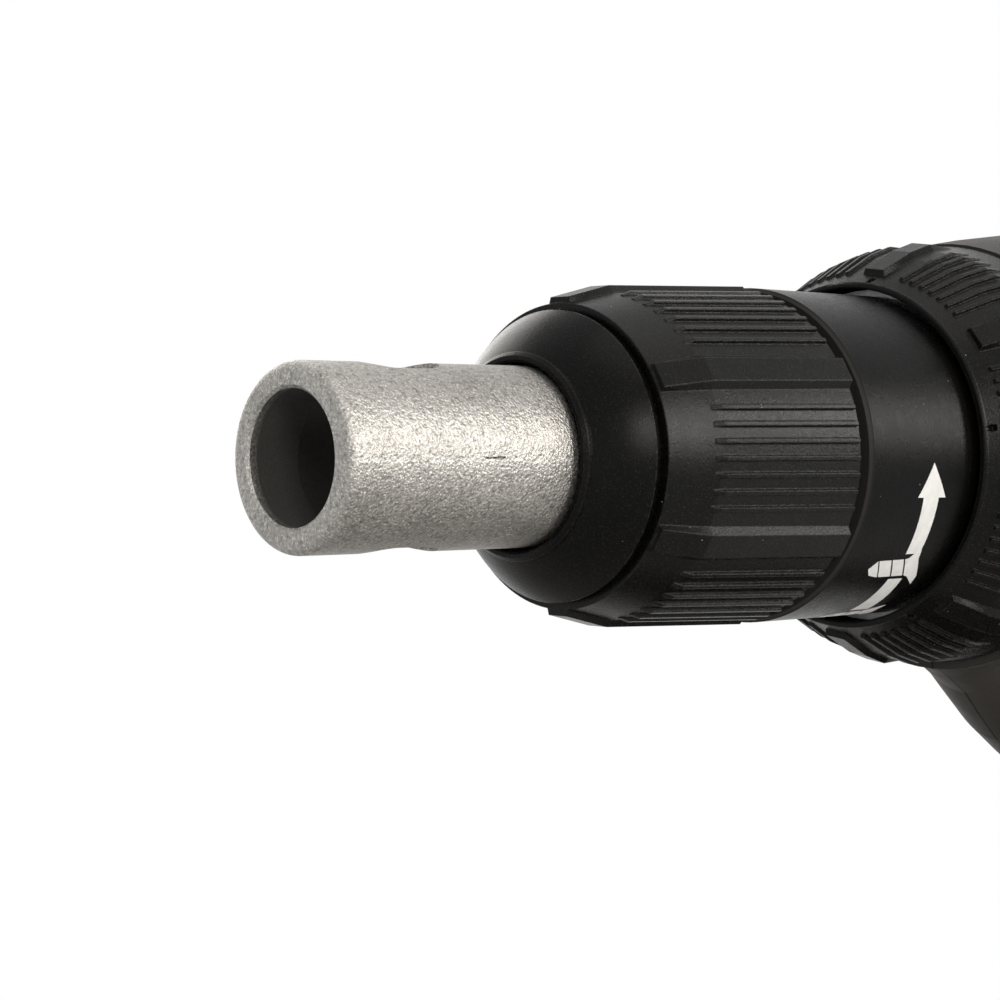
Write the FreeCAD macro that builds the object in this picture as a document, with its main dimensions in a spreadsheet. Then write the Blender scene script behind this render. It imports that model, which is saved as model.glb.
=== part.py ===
import FreeCAD, Part
import math
import os
import re
import Sketcher

V = FreeCAD.Vector
doc = FreeCAD.newDocument("DrywallScrewdriver")
sheet = doc.addObject("Spreadsheet::Sheet", "Sizes")

# Driving dimensions in millimetres and degrees. Lengths along the spindle run back from the nose tip.
SIZES = {
    # Frame and fits
    "axis_height": 192.0, "tip_reach": 158.0, "wall": 2.6, "run_gap": 0.3, "seat_gap": 0.05,
    "slide_fit": 0.05, "press_fit": 0.02,
    # Locator
    "locator_reach": 28.1, "locator_outer_r": 9.1, "locator_bore_r": 6.5, "locator_inner_r": 7.3,
    "lip_bore_len": 6.0, "locator_edge": 1.0, "window_len": 10.0, "window_width": 6.7,
    "window_at": 12.2, "thread_r": 11.0, "thread_len": 16.2, "depth_out": 2.0, "key_width": 4.0,
    "key_rise": 1.2, "key_len": 8.0,
    # Depth collar and its grip
    "lip_wall": 3.4, "lip_r": 10.6, "lip_len": 0.9, "dome_len": 5.4, "dome_r": 15.0,
    "dome_bulge": 16.0, "seam_width": 0.9, "core_r": 14.8, "grip_len": 27.6, "grip_cone": 6.0,
    "panel_front_r": 15.7, "panel_mid_r": 17.1, "panel_rear_r": 17.9, "grip_chamfer": 0.8,
    "grip_bars": 6, "bar_rise": 0.65, "bar_half": 1.35, "bar_slope": 0.85, "ribs": 7, "rib_pitch": 5.7,
    "rib_rise": 0.4, "rib_half": 0.22, "rib_slope": 0.2,
    # Nose sleeve
    "collar_gap": 0.4, "sleeve_r": 18.5, "sleeve_show": 17.9, "sleeve_tuck": 4.2, "spigot_r": 13.4,
    "spigot_len": 15.8, "click_ring_width": 0.8, "retainer_width": 0.9, "retainer_in": 0.25,
    "retainer_out": 0.5,
    # Gear case neck
    "neck_r": 15.0, "neck_len": 12.2, "oring_wire": 0.9, "neck_bore_r": 8.0,
    # Gear case cover
    "cover_len": 17.3, "rim_inner_r": 19.3, "rim_outer_r": 20.1, "rim_edge": 0.4, "rim_band": 2.2,
    "cover_mid": 6.9, "cover_mid_r": 23.3, "cover_turn": 3.5, "cover_turn_r": 24.4,
    "cover_rear_r": 24.75, "cover_bars": 8, "cover_phase": 7.0, "cover_rib_pitch": 3.9,
    "cover_fade": 3.0, "dimple_r": 0.4, "dimple_depth": 0.5, "dimple_at_r": 20.4, "dimples": 5,
    # Gear case
    "shoulder_r": 20.5, "bowl_r": 21.8, "bowl_bore_r": 18.6, "boss_ring_r": 20.4, "boss_r": 2.5,
    "case_screw_r": 1.4, "case_screw_head_r": 2.6,
    # Spindle, bearing and bit holder
    "spindle_r": 6.0, "spindle_nose": 44.0, "flange_r": 13.0, "flange_len": 4.0, "pilot_r": 4.0,
    "lug_len": 2.2, "lug_inner_r": 9.2, "lug_angle": 40.0, "bearing_r": 12.0, "bearing_len": 6.0,
    "roller_r": 1.1, "rollers": 9, "hex_flats": 6.35, "holder_r": 5.0, "holder_tip": 17.5,
    "holder_socket": 13.0, "holder_shank": 24.0, "hex_play": 0.1, "magnet_r": 2.4, "magnet_len": 4.0,
    "clip_width": 0.7,
    # Gears and clutch
    "gear_module": 0.7, "gear_teeth": 46, "pinion_teeth": 12, "gear_width": 8.0, "backlash": 0.16,
    "spring_pocket_r": 8.3, "spring_pocket": 5.0, "clutch_spring_r": 7.2, "clutch_wire_r": 0.55,
    "journal_r": 6.0, "bush_r": 9.0, "bush_len": 6.0, "plate_len": 8.0, "plate_motor_r": 9.5,
    # Motor
    "shaft_r": 2.5, "motor_bearing_r": 6.5, "motor_bearing_len": 4.0, "stator_r": 24.0,
    "stator_len": 36.0, "stator_gap": 14.0, "yoke": 4.0, "tooth_width": 6.4, "stator_bore_r": 12.8,
    "coil_overhang": 7.0, "coil_half": 6.0, "rotor_r": 10.6, "magnet_wall": 1.5, "poles": 4,
    "fan_gap": 5.0, "fan_r": 21.0, "fan_len": 10.0, "fan_blades": 11, "board_thick": 1.6,
    # Pinion lobe
    "lobe_wall": 1.2, "lobe_room_r": 5.2,
    # Housing barrel and chin
    "front_top": 25.4, "front_bottom": 26.0, "front_half": 25.3, "chin_at": 13.5, "chin_top": 27.3,
    "chin_bottom": 27.5, "chin_half": 25.6, "throat_at": 26.1, "throat_bottom": 37.0,
    "throat_half": 27.0, "keel_top": 8.0, "keel_half": 11.5, "keel_swell": 2.0, "keel_front": 25.5,
    "keel_step": 6.6, "keel_low": 29.4, "keel_chin": 35.9, "keel_throat": 43.1, "keel_sink": 0.6,
    "barrel_top": 26.4, "barrel_half": 31.2, "barrel_room": 1.2, "waist_top": 21.5, "waist_half": 31.0,
    "tail_top": 13.0, "tail_bottom": 47.0, "tail_half": 28.5, "end_top": -2.0, "end_bottom": 36.0,
    "end_half": 16.5, "tail_len": 24.0,
    # Vents
    "vent_width": 3.0, "vent_height": 24.0, "vents": 3,
    # Handle
    "handle_x": 6.0, "handle_rake": 10.0, "handle_len": 21.0, "handle_half": 17.0,
    "handle_flare": 1.45, "grip_rubber": 1.4, "grip_base": 10.0, "grip_top": 32.0,
    # Controls
    "trigger_width": 16.0, "trigger_height": 25.0, "trigger_reach": 14.0, "trigger_travel": 7.0,
    "trigger_drop": 3.0, "trigger_dish": 45.0, "stem_r": 2.2, "switch_len": 23.0, "switch_half": 8.5,
    "switch_height": 25.0, "slider_width": 9.0, "slider_height": 6.0, "slider_reach": 4.5,
    "lock_r": 5.0, "lock_reach": 3.0, "lock_travel": 2.5, "lock_pit_deep": 5.0, "lock_well": 1.6,
    "lock_floor": 1.2, "lock_spring_r": 1.25, "lock_wire_r": 0.35, "shelf": 2.0,
    # Foot and its slot
    "foot_len": 98.0, "foot_width": 75.0, "foot_height": 22.7, "foot_corner": 12.0, "foot_edge": 6.0,
    "rail_height": 3.8, "rail_reach": 4.5, "tongue_half": 27.3, "tongue_height": 3.4, "slot_roof": 2.4,
    "slot_stop": 1.0,
    # Control module and contacts
    "module_x": -24.0, "module_len": 62.0, "module_half": 26.0, "module_height": 6.5, "block_x": 30.0,
    "block_len": 16.0, "block_half": 16.0, "block_height": 3.0, "blade_len": 15.0, "blade_thick": 0.8,
    "blade_height": 4.0, "blade_pitch": 10.0, "clip_leaf": 0.5, "clip_x": 16.0, "clip_len": 9.0,
    # Battery
    "pack_len": 112.0, "pack_width": 75.0, "pack_height": 30.0, "pack_split": 14.0,
    "pack_corner": 10.0, "pack_edge": 3.0, "cell_r": 9.1, "cell_lift": 1.2, "cell_len": 65.0,
    "cell_pitch": 19.0, "cell_count": 5, "holder_thick": 4.0, "latch_len": 7.0, "latch_half": 12.0,
    "latch_height": 8.0, "latch_travel": 3.0, "latch_rise": 2.0, "pack_screw_in": 5.4,
    "pack_screw_y": 20.0, "pack_screw_r": 1.2, "pack_screw_head_r": 2.2, "pack_post_r": 2.6,
    # Housing screws and lamp
    "screw_r": 1.4, "screw_head_r": 2.75, "screw_head": 2.2, "post_r": 3.6, "light_r": 4.0,
    "light_len": 5.0, "light_proud": 0.8,
    # Belt hook and inserts
    "hook_width": 14.0, "hook_thick": 2.0, "hook_gap": 11.0, "hook_leg": 48.0, "hook_plate": 12.0,
    "insert_r": 3.0, "insert_bore_r": 2.0, "insert_len": 8.0,
}
for row, (alias, number) in enumerate(SIZES.items(), 1):
    sheet.set(f"A{row}", alias.replace("_", " "))
    sheet.set(f"B{row}", str(number))
    sheet.setAlias(f"B{row}", alias)
doc.recompute()

ALIASES = set(SIZES)
NODES = {}
X_TURN = FreeCAD.Rotation(V(0, 1, 0), 90)
Y_TURN = FreeCAD.Rotation(V(1, 0, 0), -90)
NO_TURN = FreeCAD.Rotation()
TURNS = {"x": X_TURN, "y": Y_TURN, "z": NO_TURN}


def full(expression):
    """Point every size named in an expression at its cell."""
    return re.sub(r"[a-z][a-z_]*", lambda m: "Sizes." + m[0] if m[0] in ALIASES else m[0], str(expression))


def derived(alias, expression):
    """Write a worked-out length into the sheet and give back its name."""
    ALIASES.add(alias)
    row = len(ALIASES)
    sheet.set(f"A{row}", alias.replace("_", " "))
    sheet.set(f"B{row}", f"={expression}")
    sheet.setAlias(f"B{row}", alias)
    return alias


def value(expression):
    return float(sheet.evalExpression(full(expression)))


def bind(thing, prop, expression):
    thing.setExpression(prop, full(expression))


def place(thing, at, turn=NO_TURN):
    thing.Placement = FreeCAD.Placement(V(*[value(e) for e in at]), turn)
    for axis, expression in zip("xyz", at):
        bind(thing, f"Placement.Base.{axis}", expression)
    return thing


def node(label, thing):
    """Register a finished sub-part under its own name."""
    thing.Label = label
    NODES[label] = thing
    return thing


def box(name, corner, size):
    thing = doc.addObject("Part::Box", name)
    for prop, expression in zip(("Length", "Width", "Height"), size):
        bind(thing, prop, expression)
    return place(thing, corner)


def cylinder(name, radius, length, at, axis="x"):
    thing = doc.addObject("Part::Cylinder", name)
    bind(thing, "Radius", radius)
    bind(thing, "Height", length)
    return place(thing, at, TURNS[axis])


def gather(kind, name, things):
    thing = doc.addObject(kind, name)
    if kind == "Part::Compound":
        thing.Links = things
    else:
        thing.Shapes = things
    return thing


def fuse(name, *things):
    return gather("Part::MultiFuse", name, list(things))


def common(name, *things):
    return gather("Part::MultiCommon", name, list(things))


def group(name, things):
    return gather("Part::Compound", name, things)


def cut(name, base, *tools):
    thing = doc.addObject("Part::Cut", name)
    thing.Base = base
    thing.Tool = tools[0] if len(tools) == 1 else fuse(name + "_tools", *tools)
    return thing


def tube(name, outer, inner, length, at, axis="x"):
    solid = cylinder(name + "_outer", outer, length, at, axis)
    bore = cylinder(name + "_bore", inner, length, at, axis)
    return cut(name, solid, bore)


def rounded(name, base, radius, chosen):
    """Round the edges of a solid that the test picks."""
    doc.recompute()
    thing = doc.addObject("Part::Fillet", name)
    thing.Base = base
    size = value(radius)
    thing.Edges = [(i, size, size) for i, e in enumerate(base.Shape.Edges, 1) if chosen(e)]
    return thing


def upright(edge):
    first, last = edge.Vertexes[0].Point, edge.Vertexes[-1].Point
    return abs(first.x - last.x) + abs(first.y - last.y) < 1e-6


def at_level(level):
    return lambda edge: max(abs(v.Point.z - level) for v in edge.Vertexes) < 1e-6


def origin_part(body, role):
    return next(o for o in body.Origin.OriginFeatures if o.Role == role)


def new_body(label, at, turn=NO_TURN):
    return node(label, place(doc.addObject("PartDesign::Body", label), at, turn))


def sketch_on(body, role, name, offset="0", angle="0"):
    sketch = body.newObject("Sketcher::SketchObject", name)
    sketch.AttachmentSupport = (origin_part(body, role), [""])
    sketch.MapMode = "FlatFace"
    turn = FreeCAD.Rotation(V(0, 0, 1), value(angle))
    sketch.AttachmentOffset = FreeCAD.Placement(V(0, 0, value(offset)), turn)
    bind(sketch, "AttachmentOffset.Base.z", offset)
    if angle != "0":
        bind(sketch, "AttachmentOffset.Rotation.Angle", angle)
    return sketch


def fix(sketch, kind, index, point, expression):
    """Tie one coordinate of a sketch point to an expression, or to an axis where it is zero."""
    if str(expression) == "0":
        axis = -2 if kind == "DistanceX" else -1
        sketch.addConstraint(Sketcher.Constraint("PointOnObject", index, point, axis))
        return
    where = sketch.addConstraint(Sketcher.Constraint(kind, -1, 1, index, point, value(expression)))
    bind(sketch, f"Constraints[{where}]", expression)


def outline(sketch, points):
    """Draw a closed outline. A third item on a point bends the run to the next point to that radius."""
    first = sketch.GeometryCount
    count = len(points)
    spots = [V(value(p[0]), value(p[1]), 0) for p in points]
    starts = []
    for i, point in enumerate(points):
        here, there = spots[i], spots[(i + 1) % count]
        if len(point) == 2:
            sketch.addGeometry(Part.LineSegment(here, there), False)
            starts.append((1, 2))
            continue
        radius = value(point[2])
        chord = there - here
        side = V(-chord.y, chord.x, 0).normalize()
        rise = math.sqrt(radius ** 2 - chord.Length ** 2 / 4)
        centre = (here + there) * 0.5 + side * math.copysign(rise, radius)
        begin = math.atan2(here.y - centre.y, here.x - centre.x)
        end = math.atan2(there.y - centre.y, there.x - centre.x)
        circle = Part.Circle(centre, V(0, 0, 1), abs(radius))
        turned = (begin, end) if radius > 0 else (end, begin)
        sketch.addGeometry(Part.ArcOfCircle(circle, *turned), False)
        starts.append((1, 2) if radius > 0 else (2, 1))
        size = sketch.addConstraint(Sketcher.Constraint("Radius", first + i, abs(radius)))
        bind(sketch, f"Constraints[{size}]", f"abs({point[2]})")
    for i in range(count):
        follower = (i + 1) % count
        ends = (first + i, starts[i][1], first + follower, starts[follower][0])
        sketch.addConstraint(Sketcher.Constraint("Coincident", *ends))
    for i, point in enumerate(points):
        fix(sketch, "DistanceX", first + i, starts[i][0], point[0])
        fix(sketch, "DistanceY", first + i, starts[i][0], point[1])
    return sketch


def ring_sketch(sketch, radius, across="0", up="0"):
    sketch.addGeometry(Part.Circle(V(value(across), value(up), 0), V(0, 0, 1), value(radius)), False)
    index = sketch.GeometryCount - 1
    size = sketch.addConstraint(Sketcher.Constraint("Radius", index, value(radius)))
    bind(sketch, f"Constraints[{size}]", radius)
    fix(sketch, "DistanceX", index, 3, across)
    fix(sketch, "DistanceY", index, 3, up)
    return sketch


def slot_outline(sketch, at, length, width):
    """Draw a slot with round ends, lying along the sketch's first axis."""
    low, high = f"({at} - {length} / 2 + {width} / 2)", f"({at} + {length} / 2 - {width} / 2)"
    half = f"{width} / 2"
    points = [(low, f"-{half}"), (high, f"-{half}", half), (high, half), (low, half, half)]
    return half_round(sketch, points)


def half_round(sketch, points):
    """Draw two straight runs joined by two half circles."""
    radius = value(points[1][2])
    spots = [V(value(p[0]), value(p[1]), 0) for p in points]
    up = V(0, 0, 1)
    right, left = (spots[1] + spots[2]) * 0.5, (spots[3] + spots[0]) * 0.5
    sketch.addGeometry(Part.LineSegment(spots[0], spots[1]), False)
    sketch.addGeometry(Part.ArcOfCircle(Part.Circle(right, up, radius), -math.pi / 2, math.pi / 2), False)
    sketch.addGeometry(Part.LineSegment(spots[2], spots[3]), False)
    half_turn = (math.pi / 2, 3 * math.pi / 2)
    sketch.addGeometry(Part.ArcOfCircle(Part.Circle(left, up, radius), *half_turn), False)
    for i in range(4):
        sketch.addConstraint(Sketcher.Constraint("Tangent", i, 2, (i + 1) % 4, 1))
    for line, end, point in ((0, 1, points[0]), (0, 2, points[1]), (2, 1, points[2])):
        fix(sketch, "DistanceX", line, end, point[0])
        fix(sketch, "DistanceY", line, end, point[1])
    return sketch


def spin(body, name, points, sweep=None, groove=False):
    """Turn an outline drawn as (along, radius) round the body's own X axis."""
    sketch = outline(sketch_on(body, "XZ_Plane", name + "_outline"), points)
    kind = "PartDesign::Groove" if groove else "PartDesign::Revolution"
    feature = body.newObject(kind, name)
    feature.Profile = sketch
    feature.ReferenceAxis = (sketch, ["H_Axis"])
    feature.Angle = 360
    if sweep:
        bind(feature, "Angle", sweep)
        feature.Midplane = True
    return feature


def pad(body, name, sketch, length, both_ways=False):
    feature = body.newObject("PartDesign::Pad", name)
    feature.Profile = sketch
    bind(feature, "Length", length)
    feature.Midplane = both_ways
    return feature


def pocket(body, name, sketch, length, both_ways=False, backwards=True):
    feature = body.newObject("PartDesign::Pocket", name)
    feature.Profile = sketch
    bind(feature, "Length", length)
    feature.Midplane = both_ways
    feature.Reversed = backwards
    return feature


def polar(body, name, originals, count, sweep="360"):
    feature = body.newObject("PartDesign::PolarPattern", name)
    feature.Originals = originals
    feature.Axis = (origin_part(body, "X_Axis"), [""])
    bind(feature, "Angle", sweep)
    bind(feature, "Occurrences", count)
    body.Tip = feature
    return feature


def ridge(body, name, sections, angle="0"):
    """Loft a ridge with sloping sides along X from (along, half base, half top, base radius, top radius)."""
    sketches = []
    for i, (along, low, high, base, top) in enumerate(sections):
        sketch = sketch_on(body, "YZ_Plane", f"{name}_section{i}", along, angle)
        points = [(f"-({low})", base), (low, base), (high, top), (f"-({high})", top)]
        sketches.append(outline(sketch, points))
    loft = body.newObject("PartDesign::AdditiveLoft", name)
    loft.Profile = sketches[0]
    loft.Sections = sketches[1:]
    loft.Ruled = True
    return loft


def fan_out(body, name, original, count, sweep, groups):
    """Repeat a ridge over a sweep, and the set of them round the axis."""
    feature = body.newObject("PartDesign::MultiTransform", name)
    feature.Originals = [original]
    steps = []
    for suffix, number, angle in (("_set", count, sweep), ("_round", groups, "360")):
        step = body.newObject("PartDesign::PolarPattern", name + suffix)
        step.Axis = (origin_part(body, "X_Axis"), [""])
        bind(step, "Angle", angle)
        bind(step, "Occurrences", number)
        steps.append(step)
    feature.Transformations = steps
    body.Tip = feature
    return feature


def coil(label, centre, axis, radius, wire, length, turns):
    """Wind a compression spring as one unbroken tube of six sides, within its length."""
    big, thin, span = value(radius), value(wire), value(length)
    pitch = (span - 2 * thin) / turns
    step, sides = 10, 6
    dots = []
    rings = []
    for i in range(turns * step + 1):
        t = 2 * math.pi * i / step
        out = V(math.cos(t), math.sin(t), 0)
        dots.append(out * big + V(0, 0, pitch * i / step))
        rise = V(-out.y * big, out.x * big, pitch / (2 * math.pi)).normalize().cross(out)
        around = [2 * math.pi * k / sides for k in range(sides)]
        corners = [dots[-1] + (out * math.cos(w) - rise * math.sin(w)) * thin for w in around]
        rings.append(Part.makePolygon(corners + corners[:1]))
    spring = Part.makeLoft(rings, True, True, False)
    near = min(a.distanceToPoint(b) for i, a in enumerate(dots) for b in dots[i + step // 2:])
    print(label, "least gap between turns", round(near - 2 * thin, 2))
    feature = doc.addObject("Part::Feature", label)
    feature.Shape = spring
    shift = TURNS[axis].multVec(V(0, 0, thin))
    feature.Placement = FreeCAD.Placement(V(*[value(e) for e in centre]) + shift, TURNS[axis])
    return node(label, feature)


# Stations along the spindle, each worked out from the sizes above.
THREAD_START = derived("thread_start_at", "locator_reach + lip_wall + depth_out + run_gap")
KEY_START = derived("key_start_at", f"{THREAD_START} + thread_len")
LOCATOR_END = derived("locator_end_at", f"{KEY_START} + key_len")
DOME_END = derived("dome_end_at", "locator_reach + dome_len")
GRIP_FRONT = derived("grip_front_at", f"{DOME_END} + seam_width")
CONE_END = derived("cone_end_at", f"{GRIP_FRONT} + grip_cone")
GRIP_REAR = derived("grip_rear_at", f"{GRIP_FRONT} + grip_len")
SLEEVE_FRONT = derived("sleeve_front_at", f"{GRIP_REAR} + collar_gap")
SPIGOT_FRONT = derived("spigot_front_at", f"{SLEEVE_FRONT} - spigot_len")
COVER_FRONT = derived("cover_front_at", f"{SLEEVE_FRONT} + sleeve_show")
SLEEVE_REAR = derived("sleeve_rear_at", f"{COVER_FRONT} + sleeve_tuck")
SHOULDER = derived("shoulder_at", f"{SLEEVE_REAR} + run_gap")
NECK_FRONT = derived("neck_front_at", f"{SHOULDER} - neck_len")
COVER_REAR = derived("cover_rear_at", f"{COVER_FRONT} + cover_len")
RIM_SLOPE = derived("rim_slope", "(cover_mid_r - rim_outer_r) / (cover_mid - rim_edge)")
BAND_R = derived("band_r", f"rim_outer_r + (rim_band - rim_edge) * {RIM_SLOPE}")
HOUSING_FRONT = derived("housing_front_at", f"{COVER_REAR} + run_gap")
BOWL = HOUSING_FRONT
BEARING_FRONT = derived("bearing_front_at", f"{BOWL} - bearing_len - 5")
FLANGE = derived("flange_at", f"{BOWL} + 1")
FLANGE_REAR = derived("flange_rear_at", f"{FLANGE} + flange_len")
GEAR_FRONT = derived("gear_front_at", f"{FLANGE_REAR} + 2 * lug_len + run_gap")
GEAR_REAR = derived("gear_rear_at", f"{GEAR_FRONT} + gear_width")
PLATE = derived("plate_at", f"{GEAR_REAR} + 2.5")
PLATE_REAR = derived("plate_rear_at", f"{PLATE} + plate_len")
JOURNAL_END = derived("journal_end_at", f"{PLATE} + bush_len - 0.5")
STATOR = derived("stator_at", f"{PLATE_REAR} + stator_gap")
STATOR_REAR = derived("stator_rear_at", f"{STATOR} + stator_len")
FAN = derived("fan_at", f"{STATOR_REAR} + coil_overhang + fan_gap")
REAR_BEARING = derived("rear_bearing_at", f"{FAN} + fan_len + 4")
SHAFT_END = derived("shaft_end_at", f"{REAR_BEARING} + motor_bearing_len + 2")
TAIL = derived("tail_at", f"{REAR_BEARING} + motor_bearing_len")
MOTOR_DROP = derived("motor_drop_at", "gear_module * (gear_teeth + pinion_teeth) / 2")
MOTOR_Z = derived("motor_z_at", f"axis_height - {MOTOR_DROP}")
ON_AXIS = ("-tip_reach", "0", "axis_height")
ON_MOTOR = ("-tip_reach", "0", MOTOR_Z)


def along(station):
    """World X of a station on the spindle."""
    return f"({station} - tip_reach)"


def on_axis(station):
    return (along(station), "0", "axis_height")


def on_motor(station):
    return (along(station), "0", MOTOR_Z)


def make_locator():
    body = new_body("locator", ON_AXIS)
    chamfer = "0.3"
    spin(body, "locator_tube", [
        (chamfer, "locator_bore_r"), ("0", f"locator_bore_r + {chamfer}"),
        ("0", "locator_outer_r - locator_edge", "-locator_edge"), ("locator_edge", "locator_outer_r"),
        (THREAD_START, "locator_outer_r + 0.1"), (THREAD_START, "thread_r"),
        (LOCATOR_END, "thread_r"), (LOCATOR_END, "locator_inner_r"),
        ("lip_bore_len + 0.8", "locator_inner_r"), ("lip_bore_len", "locator_bore_r")])
    window = slot_outline(sketch_on(body, "XY_Plane", "window_outline"), "window_at", "window_len",
                          "window_width")
    pocket(body, "windows", window, "3 * locator_outer_r", both_ways=True)
    keys = sketch_on(body, "YZ_Plane", "key_outline", KEY_START)
    inner, outer = "(thread_r - 1)", "(thread_r + key_rise)"
    for near, far in ((inner, outer), (f"-{outer}", f"-{inner}")):
        outline(keys, [(near, "-key_width / 2"), (far, "-key_width / 2"), (far, "key_width / 2"),
                       (near, "key_width / 2")])
    pad(body, "keys", keys, "key_len")


def make_collar():
    mouth = "(locator_outer_r + 0.1 + run_gap)"
    lip_end = "(locator_reach + lip_len)"
    bore = "(thread_r + run_gap)"
    rear = f"({GRIP_REAR} - grip_chamfer)"
    spigot_bore = "(spigot_r + run_gap)"
    spigot_end = f"({SPIGOT_FRONT} - run_gap)"
    body = new_body("depth_collar", ON_AXIS)
    spin(body, "collar_core", [
        ("locator_reach + 0.3", mouth), ("locator_reach", f"{mouth} + 0.3"),
        ("locator_reach", "lip_r - 0.4"),
        ("locator_reach + 0.4", "lip_r"), (lip_end, "lip_r"), (lip_end, "lip_r - 0.2", "-dome_bulge"),
        (DOME_END, "dome_r"), (DOME_END, "core_r"), (rear, "core_r"), (rear, spigot_bore),
        (spigot_end, spigot_bore), (spigot_end, bore), ("locator_reach + lip_wall", bore),
        ("locator_reach + lip_wall", mouth)])
    groove = f"({SPIGOT_FRONT} + 2.4)"
    ring_room = "spigot_r + retainer_out + run_gap"
    spin(body, "retainer_groove", [
        (groove, "spigot_r"), (f"{groove} + 2", "spigot_r"), (f"{groove} + 2", ring_room),
        (groove, ring_room)], groove=True)

    grip = new_body("collar_grip", ON_AXIS)
    spin(grip, "grip_shell", [
        (GRIP_FRONT, "core_r + seat_gap"), (GRIP_FRONT, "panel_front_r"), (CONE_END, "panel_mid_r"),
        (rear, "panel_rear_r"), (GRIP_REAR, "panel_rear_r - grip_chamfer"),
        (GRIP_REAR, "core_r + seat_gap")])
    wide, sunk = "bar_half + bar_slope", "0.4"
    bar = ridge(grip, "grip_bar", [
        (f"{GRIP_FRONT} + 0.2", "bar_half + 0.3", "bar_half", f"panel_front_r - {sunk}",
         "panel_front_r + bar_rise"),
        (CONE_END, wide, "bar_half", f"panel_mid_r - {sunk}", "panel_mid_r + bar_rise"),
        (rear, wide, "bar_half", f"panel_rear_r - {sunk}", "panel_rear_r + bar_rise")])
    polar(grip, "grip_bars_round", [bar], "grip_bars")
    base = "rib_half + rib_slope"
    start = "(180 / grip_bars - rib_pitch * (ribs - 1) / 2)"
    rib = ridge(grip, "grip_rib", [
        (f"{CONE_END} - 0.6", base, "rib_half", f"panel_mid_r - {sunk}", "panel_mid_r - 0.05"),
        (f"{CONE_END} + 0.6", base, "rib_half", f"panel_mid_r - {sunk}", "panel_mid_r + rib_rise"),
        (f"{rear} - 0.4", base, "rib_half", f"panel_rear_r - {sunk}", "panel_rear_r + rib_rise")], start)
    fan_out(grip, "grip_ribs", rib, "ribs", "rib_pitch * (ribs - 1)", "grip_bars")


def make_sleeve():
    bore, neck_bore = "(thread_r + run_gap + 0.1)", "(neck_r + slide_fit)"
    step = f"({NECK_FRONT} - run_gap)"
    body = new_body("nose_sleeve", ON_AXIS)
    spin(body, "sleeve_turned", [
        (SPIGOT_FRONT, bore), (SPIGOT_FRONT, "spigot_r"), (SLEEVE_FRONT, "spigot_r"),
        (SLEEVE_FRONT, "sleeve_r - 0.4"), (f"{SLEEVE_FRONT} + 0.4", "sleeve_r"),
        (f"{SLEEVE_REAR} - 0.5", "sleeve_r"),
        (SLEEVE_REAR, "sleeve_r - 0.5"), (SLEEVE_REAR, neck_bore), (step, neck_bore), (step, bore)])
    keyway = sketch_on(body, "YZ_Plane", "keyway_outline", SPIGOT_FRONT)
    half, deep = "(key_width / 2 + run_gap)", "(thread_r + key_rise + run_gap)"
    outline(keyway, [(f"-{deep}", f"-{half}"), (deep, f"-{half}"), (deep, half), (f"-{deep}", half)])
    pocket(body, "keyways", keyway, f"{step} - {SPIGOT_FRONT}")
    seat = f"({SPIGOT_FRONT} + 3.4)"
    half, floor = "(retainer_width / 2 + seat_gap)", "spigot_r - retainer_in - seat_gap"
    spin(body, "retainer_seat", [
        (f"{seat} - {half}", floor), (f"{seat} + {half}", floor), (f"{seat} + {half}", "spigot_r + 1"),
        (f"{seat} - {half}", "spigot_r + 1")], groove=True)
    ring_at = on_axis(f"({seat} - retainer_width / 2)")
    ring = tube("retainer", "spigot_r + retainer_out", "spigot_r - retainer_in", "retainer_width", ring_at)
    ring.Base.Angle = 330
    node("collar_retainer", ring)
    ring_at = on_axis(f"({SLEEVE_FRONT} - click_ring_width + 0.3)")
    node("click_ring", tube("click", "core_r - 0.1", "spigot_r + seat_gap", "click_ring_width - 0.3",
                            ring_at))


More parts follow.
